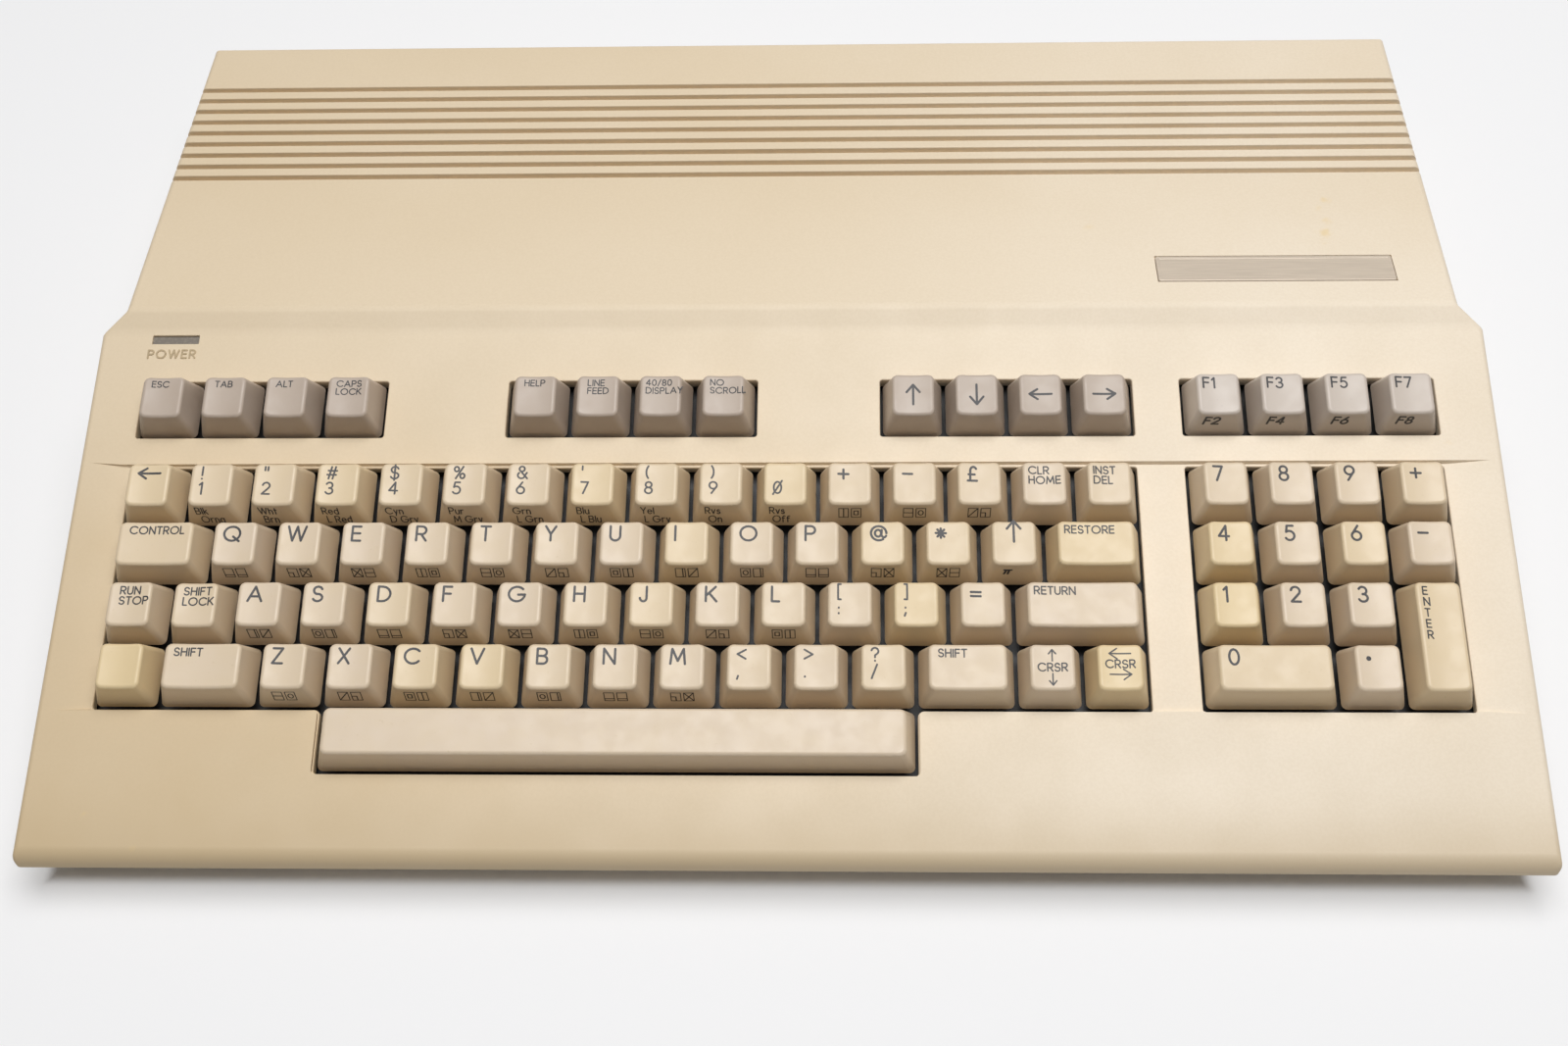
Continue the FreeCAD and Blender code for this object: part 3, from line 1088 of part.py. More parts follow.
def reset_switch():
    block = box("reset_block", "reset_depth", "reset_body", "reset_body / 2 + reset_up",
                f"{SIDE_FACE_X} - reset_depth", "reset_at - reset_body / 2", BOARD_TOP)
    room = rod("reset_room", "reset_radius + fit_gap", "reset_depth", f"{SIDE_FACE_X} - reset_depth / 2",
               "reset_at", f"{BOARD_TOP} + reset_up", "x")
    node(cut("reset_open", block, [room]), "reset_housing")
    button = rod("reset_rod", "reset_radius", "reset_depth / 2 - reset_travel - fit_gap + reset_reach",
                 f"{SIDE_FACE_X} - reset_depth / 2 + reset_travel + fit_gap", "reset_at",
                 f"{BOARD_TOP} + reset_up", "x")
    node(button, "reset_button")


# Keyboard cable

def keyboard_cable():
    """A flat cable from the keyboard board's underside to its header on the main board."""
    top_y = f"({KEYS_Y} + cable_from * cos(deck_slope) + (frame_foot + board_thickness) * sin(deck_slope))"
    top_z = f"({KEYS_Z} + cable_from * sin(deck_slope) - (frame_foot + board_thickness) * cos(deck_slope))"
    header_y, header_z = f"({top_y} + cable_run)", f"({BOARD_TOP} + header_height)"
    body = new_body("cable")
    side = sketch(body, "YZ_Plane", z="-cable_left")
    outline(side, [(f"{header_y} - cable_sheet", header_z), (header_y, header_z),
                   (header_y, f"{top_z} - cable_sheet * 2"),
                   (f"{top_y} + cable_sheet", f"{top_z} - cable_sheet"), (top_y, top_z),
                   (f"{top_y} - cable_sheet * cos(deck_slope)", f"{top_z} - cable_sheet * sin(deck_slope)"),
                   (f"{top_y} - cable_sheet", f"{top_z} - cable_sheet * 2"),
                   (f"{header_y} - cable_sheet", f"{top_z} - cable_sheet * 4")])
    extrude(body, side, "cable_width", "Pad", "Symmetric")
    header = box("cable_header", "cable_width + 2 * cable_sheet", "header_depth", "header_height",
                 "-cable_left - cable_width / 2 - cable_sheet",
                 f"{header_y} - (header_depth + cable_sheet) / 2", BOARD_TOP)
    node(join("cable_whole", [body, header]), "keyboard_cable")


# Build, test and write

upper_case()
lower_case()
rubber_feet()
case_screws()
small_screws()
name_badge()
power_lamp()
keys()
keyboard_frame()
key_springs()
keyboard_board()
space_bar_wire()
main_board()
rf_shield()
chips()
cartridge_socket()
round_sockets()
modulator()
nine_pin_sockets()
power_socket()
power_switch()
reset_switch()
keyboard_cable()
doc.recompute()

for thing in doc.Objects:
    if "Invalid" in thing.State or "Error" in thing.State:
        raise RuntimeError(f"{thing.Name} failed: {thing.State}")
os.makedirs("parts", exist_ok=True)
for thing in nodes:
    if thing.Shape.isNull() or not thing.Shape.isValid() or not thing.Shape.Solids:
        raise RuntimeError(f"{thing.Label} has no valid solid")
for thing in nodes:
    thing.Shape.exportStep(f"parts/{thing.Label}.step")
print(len(nodes), "nodes written")
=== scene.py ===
import json
import math

import bmesh
import bpy
from bpy.props import FloatProperty, FloatVectorProperty, IntProperty, PointerProperty
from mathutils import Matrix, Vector


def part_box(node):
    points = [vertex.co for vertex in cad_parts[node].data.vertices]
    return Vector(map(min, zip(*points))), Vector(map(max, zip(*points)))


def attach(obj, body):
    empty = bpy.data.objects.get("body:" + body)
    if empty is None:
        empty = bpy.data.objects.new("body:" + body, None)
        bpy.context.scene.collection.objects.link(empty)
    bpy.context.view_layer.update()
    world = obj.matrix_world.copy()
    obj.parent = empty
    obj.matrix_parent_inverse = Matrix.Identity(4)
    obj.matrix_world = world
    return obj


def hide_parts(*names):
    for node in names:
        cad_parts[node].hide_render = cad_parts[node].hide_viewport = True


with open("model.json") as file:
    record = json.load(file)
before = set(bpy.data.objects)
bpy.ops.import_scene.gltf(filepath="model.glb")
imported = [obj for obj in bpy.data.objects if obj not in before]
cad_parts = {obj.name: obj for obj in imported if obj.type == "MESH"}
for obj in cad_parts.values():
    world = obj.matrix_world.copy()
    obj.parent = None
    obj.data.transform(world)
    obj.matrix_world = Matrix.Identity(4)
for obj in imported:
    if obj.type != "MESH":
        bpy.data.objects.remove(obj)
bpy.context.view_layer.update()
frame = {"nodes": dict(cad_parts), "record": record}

bl_info = {
    "name": "Home Computer",
    "version": (1, 0, 0),
    "blender": (4, 5, 0),
    "location": "3D View > Sidebar > Home Computer",
    "description": "Shapes and finishes of a keyboard computer in a wedge-shaped case",
    "category": "Object",
}

MM = 0.001
CASE_LOW, CASE_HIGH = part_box("upper_case")


# Properties

def length(name, description, millimetres):
    return FloatProperty(name=name, description=description, default=millimetres * MM,
                         unit="LENGTH", precision=5)


def turn(name, description, degrees):
    return FloatProperty(name=name, description=description, default=math.radians(degrees),
                         unit="ROTATION", precision=4)


def colour(name, description, red, green, blue):
    return FloatVectorProperty(name=name, description=description, default=(red, green, blue),
                               subtype="COLOR", size=3, min=0, max=1)


class CaseSizes(bpy.types.PropertyGroup):
    """Sizes of the two case halves."""
    seam: length("Seam height", "Height of the joint between the case halves", 15)
    lip: length("Lip height", "Height of the deck's front edge", 19.5)
    slope: turn("Deck slope", "How steeply the keyboard deck rises", 12.5)
    lip_to_keys: length("Lip to keys", "From the lip up the deck to the main keys", 45)
    keys_to_foot: length("Keys to ramp", "From the main keys up the deck to the ramp", 123.3)
    ramp_run: length("Ramp run", "Depth of the ramp", 6.85)
    ramp_rise: length("Ramp rise", "Height of the ramp", 3.64)
    top_width: length("Top width", "Width of the case at the ramp's top", 415.2)
    top_fall: turn("Top fall", "How steeply the rear top falls to the back", 5.47)
    rear_lean: length("Rear lean", "How far the back wall leans in at its top", 3.6)
    wall: length("Wall", "Thickness of the side walls", 3)
    roof: length("Roof", "Thickness of the deck", 4.2)
    lip_radius: length("Lip radius", "Rounding of the front edge", 5.2)
    rear_radius: length("Rear radius", "Rounding of the rear top edge", 4)
    side_radius: length("Side radius", "Rounding of the side edges", 1.8)
    ramp_radius: length("Ramp radius", "Rounding at the ramp's foot and top", 1.6)
    corner_radius: length("Corner radius", "Rounding of the upright corners", 1.6)
    band_sink: length("Band depth", "How far the band around the keys is sunk", 1.2)
    band_length: length("Band length", "Length of the sunk band up the deck", 78.6)
    edge_flare: length("Opening rounding", "Rounding of the edges of the openings", 0.5)
    lens_gap: length("Lens gap", "From the ramp's foot to the strip over the lamp", 0.9)
    lens_height: length("Lens height", "Height of the strip over the lamp", 3.4)
    lens_length: length("Lens length", "Length of the strip over the lamp", 15.2)
    groove_count: IntProperty(name="Grooves", description="Grooves across the rear top", default=9, min=1)
    groove_start: length("First groove", "From the ramp's top to the first groove", 64.15)
    groove_pitch: length("Groove pitch", "From one groove to the next", 6.16)
    groove_width: length("Groove width", "Width of each groove", 2.35)
    groove_cut: length("Groove depth", "Depth of each groove", 2.6)


class KeySizes(bpy.types.PropertyGroup):
    """Sizes of the keys and their print."""
    pitch: length("Key pitch", "From one key to the next", 19.05)
    gap: length("Key gap", "From a cap's foot to the edge of its cell", 0.525)
    well_gap: length("Well gap", "From a cell to the edge of its opening", 0.8)
    block_left: length("Block left", "From the middle of the case to the main keys' left edge", 198.7)
    pad: length("Pad start", "From the main keys' left edge to the number pad", 319.7)
    strip: length("Strip start", "From the main keys' front edge up to the upper keys", 86.5)
    strip_gap: length("Strip gap", "From an upper cell to its opening's front or rear edge", 0.6)
    top: length("Cap height", "Height of a cap's top edge over the deck", 9.1)
    bar_top: length("Bar height", "Height of the space bar over the deck", 8.2)
    skirt: length("Skirt", "How far a cap reaches below the deck", 2)
    front: length("Front lean", "How far a cap's front leans in", 3.2)
    back: length("Back lean", "How far a cap's back leans in", 3)
    side: length("Side lean", "How far a cap's sides lean in", 3.65)
    dish: length("Dish", "Depth of the hollow in a cap's top", 0.6)
    wall: length("Cap wall", "Thickness of a cap's sides", 1.4)
    roof: length("Cap roof", "Thickness of a cap's top", 1.6)
    foot_corner: length("Foot corner", "Corner radius at a cap's foot", 1.7)
    head_corner: length("Top corner", "Corner radius at a cap's top", 1.7)
    edge: length("Edge rounding", "Rounding of a cap's top edge", 0.9)
    lock_drop: length("Lock drop", "How far the locking shift key sits lower", 0.8)
    plunger: length("Plunger", "Width of the shaft below each cap", 5)
    plunger_foot: length("Plunger foot", "How far the shaft reaches below the deck", 9.2)
    letter: length("Letter height", "Height of single letters and digits", 4.5)
    pair: length("Pair height", "Height of the lower of two signs on one cap", 3.7)
    sign: length("Sign height", "Height of the upper of two signs on one cap", 3.9)
    word: length("Word height", "Height of the letters in words", 2.3)
    strip_word: length("Small word height", "Height of the words on the upper keys", 1.95)


class FinishColours(bpy.types.PropertyGroup):
    """Colours of the finishes."""
    case: colour("Case", "Plastic of the case", 0.77, 0.65, 0.485)
    case_tan: colour("Case tan", "Case plastic where it has turned tan", 0.62, 0.475, 0.285)
    case_pale: colour("Case pale", "Case plastic where it has stayed pale", 0.83, 0.725, 0.58)
    stain: colour("Stain", "Yellow stains on the case", 0.76, 0.56, 0.24)
    cream: colour("Cream cap", "Plastic of the main keys", 0.695, 0.57, 0.43)
    cream_aged: colour("Aged cap", "Main key plastic that has turned yellow", 0.74, 0.58, 0.33)
    grey: colour("Grey cap", "Plastic of the upper keys", 0.455, 0.37, 0.30)
    grey_pale: colour("Pale grey cap", "Plastic of the function keys", 0.60, 0.53, 0.465)
    ink: colour("Ink", "Print on the keys", 0.022, 0.021, 0.023)
    badge: colour("Badge", "Satin plate on the rear top", 0.545, 0.46, 0.365)
    lens: colour("Lens", "Smoked strip over the lamp", 0.23, 0.20, 0.165)
    floor: colour("Floor", "Pale studio floor", 0.91, 0.91, 0.92)


def case_sizes():
    return bpy.context.scene.computer_case


def key_sizes():
    return bpy.context.scene.computer_keys


def colours():
    return bpy.context.scene.computer_colours


# Places on the case

class Slope:
    """A face tipped about X: a runs along X, b up the slope and c out of the face."""

    def __init__(self, x, y, z, angle):
        self.start = Vector((x, y, z))
        self.up = Vector((0, math.cos(angle), math.sin(angle)))
        self.out = Vector((0, -math.sin(angle), math.cos(angle)))

    def at(self, a, b, c=0):
        return self.start + Vector((a, 0, 0)) + self.up * b + self.out * c


def deck():
    """The keyboard deck, from the main keys' front left corner."""
    case = case_sizes()
    return Slope(-key_sizes().block_left, CASE_LOW.y + case.lip_to_keys * math.cos(case.slope),
                 case.lip + case.lip_to_keys * math.sin(case.slope), case.slope)


def ramp_foot():
    return deck().at(0, case_sizes().keys_to_foot)


def rear_top():
    """The rear top, from the middle of the ramp's top edge."""
    case = case_sizes()
    foot = ramp_foot()
    return Slope(0, foot.y + case.ramp_run, foot.z + case.ramp_rise, -case.top_fall)


# Mesh building

class Shape:
    """Points and faces gathered for one piece, with a tag for each point."""

    def __init__(self):
        self.points = []
        self.faces = []
        self.tags = []
        self.tag = 0.0

    def ring(self, points):
        first = len(self.points)
        self.points += [tuple(point) for point in points]
        self.tags += [self.tag] * len(points)
        return list(range(first, len(self.points)))

    def skin(self, first, second):
        count = len(first)
        self.faces += [(first[i], first[(i + 1) % count], second[(i + 1) % count], second[i])
                       for i in range(count)]

    def loft(self, rings):
        """A closed solid through rings that have as many points each."""
        rows = [self.ring(points) for points in rings]
        for i in range(len(rows) - 1):
            self.skin(rows[i], rows[i + 1])
        self.faces.append(tuple(reversed(rows[0])))
        self.faces.append(tuple(rows[-1]))
        return rows

    def block(self, low, high):
        corners = [(low[0], low[1]), (high[0], low[1]), (high[0], high[1]), (low[0], high[1])]
        self.loft([[(x, y, z) for x, y in corners] for z in (low[2], high[2])])

    def build(self, name):
        mesh = bpy.data.meshes.new(name)
        mesh.from_pydata(self.points, [], self.faces)
        tags = mesh.attributes.new("tag", "FLOAT", "POINT")
        tags.data.foreach_set("value", self.tags)
        thing = bpy.data.objects.new(name, mesh)
        bpy.context.scene.collection.objects.link(thing)
        face_outwards(thing)
        return thing


def face_outwards(thing):
    shell = bmesh.new()
    shell.from_mesh(thing.data)
    bmesh.ops.recalc_face_normals(shell, faces=shell.faces)
    shell.to_mesh(thing.data)
    shell.free()


def bake_modifiers(thing):
    """Replace the mesh by what its modifiers make of it."""
    graph = bpy.context.evaluated_depsgraph_get()
    graph.update()
    mesh = bpy.data.meshes.new_from_object(thing.evaluated_get(graph))
    thing.modifiers.clear()
    thing.data = mesh


SHARP_ANGLE = 32
SOFT_SHARP_ANGLE = 50


def smooth(thing, degrees=SHARP_ANGLE):
    """Smooth shading that leaves the sharper edges sharp and keeps broad faces flat."""
    mesh = thing.data
    mesh.shade_smooth()
    mesh.set_sharp_from_angle(angle=math.radians(degrees))
    weigh = thing.modifiers.new("weigh", "WEIGHTED_NORMAL")
    weigh.keep_sharp = True
    bake_modifiers(thing)


def carve(thing, cutter):
    """Cut one closed mesh out of another."""
    tool = cutter.build("cutter")
    cut = thing.modifiers.new("carve", "BOOLEAN")
    cut.operation = "DIFFERENCE"
    cut.solver = "EXACT"
    cut.object = tool
    bake_modifiers(thing)
    bpy.data.objects.remove(tool)


def finish_piece(thing, body, material, slot, replaced=()):
    """Name the body that a piece rides on, its finish and what it stands for. The slot is not used."""
    thing.data.materials.clear()
    thing.data.materials.append(material)
    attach(thing, body)
    if replaced:
        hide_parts(*replaced)


def dress(material, *nodes):
    """Give CAD nodes their finish."""
    for node in nodes:
        thing = frame["nodes"][node]
        thing.data.materials.clear()
        thing.data.materials.append(material)


ARC_STEPS = 4


def rounded_rectangle(left, low, right, high, radius, between=0):
    """Points round a rectangle with arcs at its corners. The front and back run have as many points."""
    points = []
    corners = ((left + radius, low + radius, 180), (right - radius, low + radius, 270),
               (right - radius, high - radius, 0), (left + radius, high - radius, 90))
    for number, (x, y, start) in enumerate(corners):
        for step in range(ARC_STEPS + 1):
            angle = math.radians(start + 90 * step / ARC_STEPS)
            points.append((x + radius * math.cos(angle), y + radius * math.sin(angle)))
        if number in (0, 2):
            end = corners[number + 1]
            for step in range(1, between + 1):
                points.append((x + (end[0] - x) * step / (between + 1), points[-1][1]))
    return points


def round_corners(corners, radius, steps=4):
    """An outline whose corners, inner and outer ones, are arcs."""
    points = []
    count = len(corners)
    for i in range(count):
        here = Vector(corners[i])
        before = (Vector(corners[i - 1]) - here).normalized()
        after = (Vector(corners[(i + 1) % count]) - here).normalized()
        middle = here + (before + after) * radius
        for step in range(steps + 1):
            angle = math.pi / 2 * step / steps
            points.append(middle - after * radius * math.cos(angle) - before * radius * math.sin(angle))
    return points


def widened(points, amount):
    """An outline moved outwards by an amount, which may be negative."""
    moved = []
    count = len(points)
    for i in range(count):
        along = (Vector(points[(i + 1) % count]) - Vector(points[i - 1])).normalized()
        moved.append((points[i][0] + along.y * amount, points[i][1] - along.x * amount))
    return moved


FLARE_STEPS = 3
CUT_OVERRUN = 5 * MM
HAIR = 0.01 * MM


def flared_cutter(cutter, slope, outline, surface, depth, flare):
    """Cut an opening whose edges round over into the surface."""
    levels = [(-depth, -flare), (surface - flare, -flare)]
    for step in range(1, FLARE_STEPS + 1):
        angle = math.pi / 2 * step / FLARE_STEPS
        levels.append((surface - flare + flare * math.sin(angle) + HAIR, -flare * math.cos(angle)))
    levels.append((surface + CUT_OVERRUN, 0))
    cutter.loft([[slope.at(x, y, level) for x, y in widened(outline, offset)] for level, offset in levels])


# Materials

NOISE_ROUGHNESS = 0.55


class Paint:
    """One material, whose nodes are added from the position to the shader."""

    def __init__(self, name, roughness=0.5, metallic=0.0):
        self.material = bpy.data.materials.new(name)
        self.material.use_nodes = True
        self.tree = self.material.node_tree
        self.shader = self.tree.nodes["Principled BSDF"]
        self.shader.inputs["Roughness"].default_value = roughness
        self.shader.inputs["Metallic"].default_value = metallic
        self.place = self.add("ShaderNodeTexCoord").outputs["Object"]

    def add(self, kind, inputs=(), **settings):
        made = self.tree.nodes.new(kind)
        for name, value in settings.items():
            setattr(made, name, value)
        for name, value in inputs:
            if isinstance(value, bpy.types.NodeSocket):
                self.tree.links.new(value, made.inputs[name])
            else:
                made.inputs[name].default_value = value
        return made

    def noise(self, size, detail=3.0):
        """Soft noise whose patches are about as large as the size."""
        made = self.add("ShaderNodeTexNoise", (("Vector", self.place), ("Scale", 1 / size),
                                               ("Detail", detail), ("Roughness", NOISE_ROUGHNESS)))
        return made.outputs["Fac"]

    def ramp(self, value, start, end, low=0.0, high=1.0):
        made = self.add("ShaderNodeMapRange", (("Value", value), ("From Min", start), ("From Max", end),
                                               ("To Min", low), ("To Max", high)),
                        interpolation_type="SMOOTHSTEP")
        return made.outputs["Result"]

    def math(self, operation, first, second):
        made = self.add("ShaderNodeMath", ((0, first), (1, second)), operation=operation)
        return made.outputs[0]

    def along(self, direction):
        """How far the position lies along a direction."""
        made = self.add("ShaderNodeVectorMath", ((0, self.place), (1, direction)), operation="DOT_PRODUCT")
        return made.outputs["Value"]

    def distance(self, point):
        made = self.add("ShaderNodeVectorMath", ((0, self.place), (1, point)), operation="DISTANCE")
        return made.outputs["Value"]

    def mix(self, share, first, second):
        made = self.add("ShaderNodeMix", (("Factor", share),), data_type="RGBA")
        for index, value in ((6, first), (7, second)):
            if isinstance(value, bpy.types.NodeSocket):
                self.tree.links.new(value, made.inputs[index])
            else:
                made.inputs[index].default_value = (*value, 1)
        return made.outputs[2]

    def tag(self):
        return self.add("ShaderNodeAttribute", attribute_name="tag").outputs["Fac"]

    def bump(self, height, strength, depth, under=None):
        made = self.add("ShaderNodeBump", (("Height", height), ("Strength", strength), ("Distance", depth)))
        if under is not None:
            self.tree.links.new(under, made.inputs["Normal"])
        return made.outputs["Normal"]

    def done(self, base, normal=None, roughness=None):
        if isinstance(base, bpy.types.NodeSocket):
            self.tree.links.new(base, self.shader.inputs["Base Color"])
        else:
            self.shader.inputs["Base Color"].default_value = (*base, 1)
        if normal is not None:
            self.tree.links.new(normal, self.shader.inputs["Normal"])
        if roughness is not None:
            self.tree.links.new(roughness, self.shader.inputs["Roughness"])
        return self.material


def shade(colour_value, share):
    return tuple(min(1, part * share) for part in colour_value)


# Yellow and brown stains on the case: the face, where on it, how wide and how strong

STAINS = (
    ("rear", 174.5, 50, 0.6, 0.5), ("rear", 173, 46, 0.2, 0.3), ("rear", 174, 39, 0.8, 0.4),
    ("rear", 172, 33, 1.2, 0.5), ("rear", 171, 28, 0.4, 0.35), ("rear", 97.3, 37, 0.6, 0.25),
    ("deck", 2.5, -31.6, 0.1, 0.4), ("deck", 18.6, -41, 0.1, 0.4), ("deck", 398, 84, 0.3, 0.5),
)


def case_plastic():
    """Matte moulded plastic with a fine grain that has turned tan at the left and in patches, with painted
    shade that darkens it towards the seam.
    """
    tint = colours()
    paint = Paint("case_plastic", roughness=0.56)
    left = paint.ramp(paint.along((1, 0, 0)), CASE_LOW.x, 110 * MM, 1, 0)
    front = paint.ramp(paint.along((0, 1, 0)), -120 * MM, 10 * MM, 1, 0.3)
    patches = paint.ramp(paint.noise(70 * MM, 4), 0.3, 0.7, 0.8, 1.1)
    tan = paint.math("MULTIPLY", paint.math("MULTIPLY", left, front), patches)
    right = paint.ramp(paint.along((1, 0, 0)), -30 * MM, 150 * MM)
    pale = paint.math("MULTIPLY", right, paint.ramp(paint.noise(45 * MM), 0.25, 0.75, 0.7, 1))
    base = paint.mix(pale, tuple(tint.case), tuple(tint.case_pale))
    base = paint.mix(tan, base, tuple(tint.case_tan))
    # Painted shade: below 25 mm the case goes over into a darker tan, which darkens the lip's front face and
    # the lower sides.
    low = paint.ramp(paint.along((0, 0, 1)), 18 * MM, 25 * MM, 0.7, 0)
    base = paint.mix(low, base, shade(tint.case_tan, 0.88))
    rear_band = paint.ramp(paint.along((0, 1, 0)), 20 * MM, 75 * MM, 0, 0.35)
    base = paint.mix(paint.math("MULTIPLY", rear_band, paint.noise(60 * MM)), base, tuple(tint.case_tan))
    ragged = paint.math("MULTIPLY", paint.noise(3.5 * MM, 4), 9 * MM)
    slopes = {"rear": rear_top(), "deck": deck()}
    for face, across, up, size, strength in STAINS:
        spot = slopes[face].at(across * MM, up * MM)
        gap = paint.math("ADD", paint.distance(tuple(spot)), ragged)
        share = paint.ramp(gap, (size + 2.5) * MM, (size + 6) * MM, strength, 0)
        base = paint.mix(share, base, tuple(tint.stain))
    speckle = paint.ramp(paint.noise(0.9 * MM, 2), 0.3, 0.7, 0.0, 0.10)
    base = paint.mix(speckle, base, shade(tint.case_tan, 0.9))
    grain = paint.bump(paint.noise(0.35 * MM, 2), 0.25, 0.04 * MM)
    ripple = paint.bump(paint.noise(14 * MM, 1), 0.2, 0.15 * MM, grain)
    rough = paint.ramp(paint.noise(25 * MM), 0.3, 0.7, 0.5, 0.62)
    return paint.done(base, ripple, rough)


# How much of each colour channel the painted shade leaves at a cap's foot
FOOT_SHADE_SHARES = (0.5, 0.44, 0.36)


def cap_plastic(name, fresh, aged):
    """Satin key plastic: its tag says how much a cap has aged, and painted shade darkens it towards its foot.
    """
    paint = Paint(name, roughness=0.42)
    face = deck()
    base = paint.mix(paint.tag(), fresh, aged)
    height = paint.math("SUBTRACT", paint.along(tuple(face.out)), face.start.dot(face.out))
    # Painted shade: each cap goes darker towards its foot, on its front, sides and back alike.
    painted_foot_shade = paint.ramp(height, -1 * MM, 7 * MM, 0.5, 0)
    base = paint.mix(painted_foot_shade, base, tuple(part * share for part, share in zip(fresh, FOOT_SHADE_SHARES)))
    cloud = paint.ramp(paint.noise(8 * MM, 3), 0.3, 0.7, 0, 0.16)
    base = paint.mix(cloud, base, shade(aged, 0.92))
    speck = paint.ramp(paint.noise(1.1 * MM, 2), 0.66, 0.8, 0, 0.35)
    base = paint.mix(speck, base, shade(aged, 0.75))
    grain = paint.bump(paint.noise(0.3 * MM, 2), 0.18, 0.03 * MM)
    rough = paint.ramp(paint.noise(6 * MM), 0.3, 0.7, 0.36, 0.5)
    return paint.done(base, grain, rough)


def ink():
    """Dark print with slightly worn patches."""
    tint = colours()
    paint = Paint("key_ink", roughness=0.5)
    worn = paint.ramp(paint.noise(1.6 * MM, 3), 0.5, 0.85, 0, 0.3)
    return paint.done(paint.mix(worn, tuple(tint.ink), shade(tint.cream, 0.3)))


def moulded_word():
    """Raised letters in the case's own plastic, painted a darker tan in patches for the shade along their
    edges.
    """
    tint = colours()
    paint = Paint("moulded_word", roughness=0.6)
    # Painted shade: the letters are a darker tan than the case, patchily, standing in for the shade along
    # their edges.
    patchy_shade = paint.ramp(paint.noise(1.5 * MM, 3), 0.3, 0.7, 0.1, 0.6)
    return paint.done(paint.mix(patchy_shade, shade(tint.case_tan, 0.8), shade(tint.case_tan, 0.5)))


def satin_plate():
    """Brushed plate: fine lines along X and a soft sheen."""
    tint = colours()
    paint = Paint("satin_plate", roughness=0.4, metallic=0.2)
    stretched = paint.add("ShaderNodeMapping", (("Vector", paint.place), ("Scale", (0.04, 1, 1))))
    paint.place = stretched.outputs[0]
    lines = paint.noise(0.5 * MM, 3)
    base = paint.mix(paint.ramp(lines, 0.3, 0.7), shade(tint.badge, 0.93), shade(tint.badge, 1.07))
    return paint.done(base, paint.bump(lines, 0.3, 0.01 * MM))


def smoked_lens():
    """Smoked translucent strip."""
    tint = colours()
    paint = Paint("smoked_lens", roughness=0.16)
    paint.shader.inputs["Transmission Weight"].default_value = 0.25
    paint.shader.inputs["IOR"].default_value = 1.49
    dust = paint.ramp(paint.noise(0.8 * MM, 4), 0.45, 0.75, 0.15, 0.65)
    return paint.done(paint.mix(dust, tuple(tint.lens), shade(tint.lens, 1.7)))


def plain_finish(name, low, high, size, roughness, metallic=0.0, depth=0.02):
    """A finish that varies between two colours, with a fine bump of the same scale."""
    paint = Paint(name, roughness=roughness, metallic=metallic)
    cloud = paint.ramp(paint.noise(size * MM, 4), 0.3, 0.7)
    grain = paint.bump(paint.noise(size * MM / 4, 2), 0.3, depth * MM)
    rough = paint.ramp(paint.noise(size * MM * 2), 0.3, 0.7, roughness * 0.85, min(1, roughness * 1.15))
    return paint.done(paint.mix(cloud, low, high), grain, rough)


def circuit_board():
    """Varnished board with darker tracks and small bright dots."""
    paint = Paint("circuit_board", roughness=0.35)
    board, track, dot = (0.012, 0.075, 0.03), (0.02, 0.13, 0.05), (0.45, 0.43, 0.38)
    lanes = paint.add("ShaderNodeTexBrick", (("Vector", paint.place), ("Scale", 160.0), ("Mortar Size", 0.06),
                                             ("Color1", (0, 0, 0, 1)), ("Color2", (0.3, 0.3, 0.3, 1)),
                                             ("Mortar", (1, 1, 1, 1))))
    base = paint.mix(lanes.outputs["Fac"], board, track)
    cells = paint.add("ShaderNodeTexVoronoi", (("Vector", paint.place), ("Scale", 220.0)))
    base = paint.mix(paint.ramp(cells.outputs["Distance"], 0.1, 0.16, 1, 0), base, dot)
    return paint.done(base, paint.bump(lanes.outputs["Fac"], 0.4, 0.04 * MM))


def ribbed_cable():
    """Grey flat cable: a rib for each wire."""
    paint = Paint("ribbed_cable", roughness=0.5)
    ribs = paint.add("ShaderNodeTexWave", (("Vector", paint.place), ("Scale", 250.0), ("Distortion", 0.2)),
                     bands_direction="X").outputs["Fac"]
    base = paint.mix(ribs, (0.25, 0.25, 0.26), (0.42, 0.42, 0.43))
    return paint.done(base, paint.bump(ribs, 0.6, 0.3 * MM))


# Upper case

def case_corners(side, roof):
    """The corners of the wedge and rear block, drawn inside the outer skin by given walls."""
    case = case_sizes()
    seam = case.seam
    half = CASE_HIGH.x - side
    drop = roof / math.cos(case.slope)
    rise = side * math.tan(case.slope)
    foot, top = ramp_foot(), rear_top().start
    taper = (CASE_HIGH.x - case.top_width / 2) / (top.z - seam)
    back_y = CASE_HIGH.y - case.rear_lean
    back_z = top.z - (back_y - top.y) * math.tan(case.top_fall)
    low_y = CASE_HIGH.y if side == 0 else back_y - side
    spots = [(half, CASE_LOW.y + side, seam), (half, CASE_LOW.y + side, case.lip + rise - drop),
             (half, foot.y + side, foot.z + rise - drop),
             (half - taper * (top.z - roof - seam), top.y + side, top.z - roof),
             (half - taper * (back_z - roof - seam), back_y - side, back_z - roof),
             (half, low_y, seam), (half, top.y + side, seam)]
    return [Vector(spot) for spot in spots] + [Vector((-x, y, z)) for x, y, z in spots]


def case_faces():
    faces = [(i, i + 1, i + 8, i + 7) for i in range(5)] + [(0, 6, 5, 12, 13, 7)]
    for start in (0, 7):
        faces += [(start, start + 1, start + 2, start + 6), (start + 2, start + 3, start + 6),
                  (start + 6, start + 3, start + 4, start + 5)]
    return faces


BEVEL_STEPS = 6


# About half the angle, in degrees, by which the case turns at its front edge and at its rear top edge
HALF_EDGE_TURN = 39


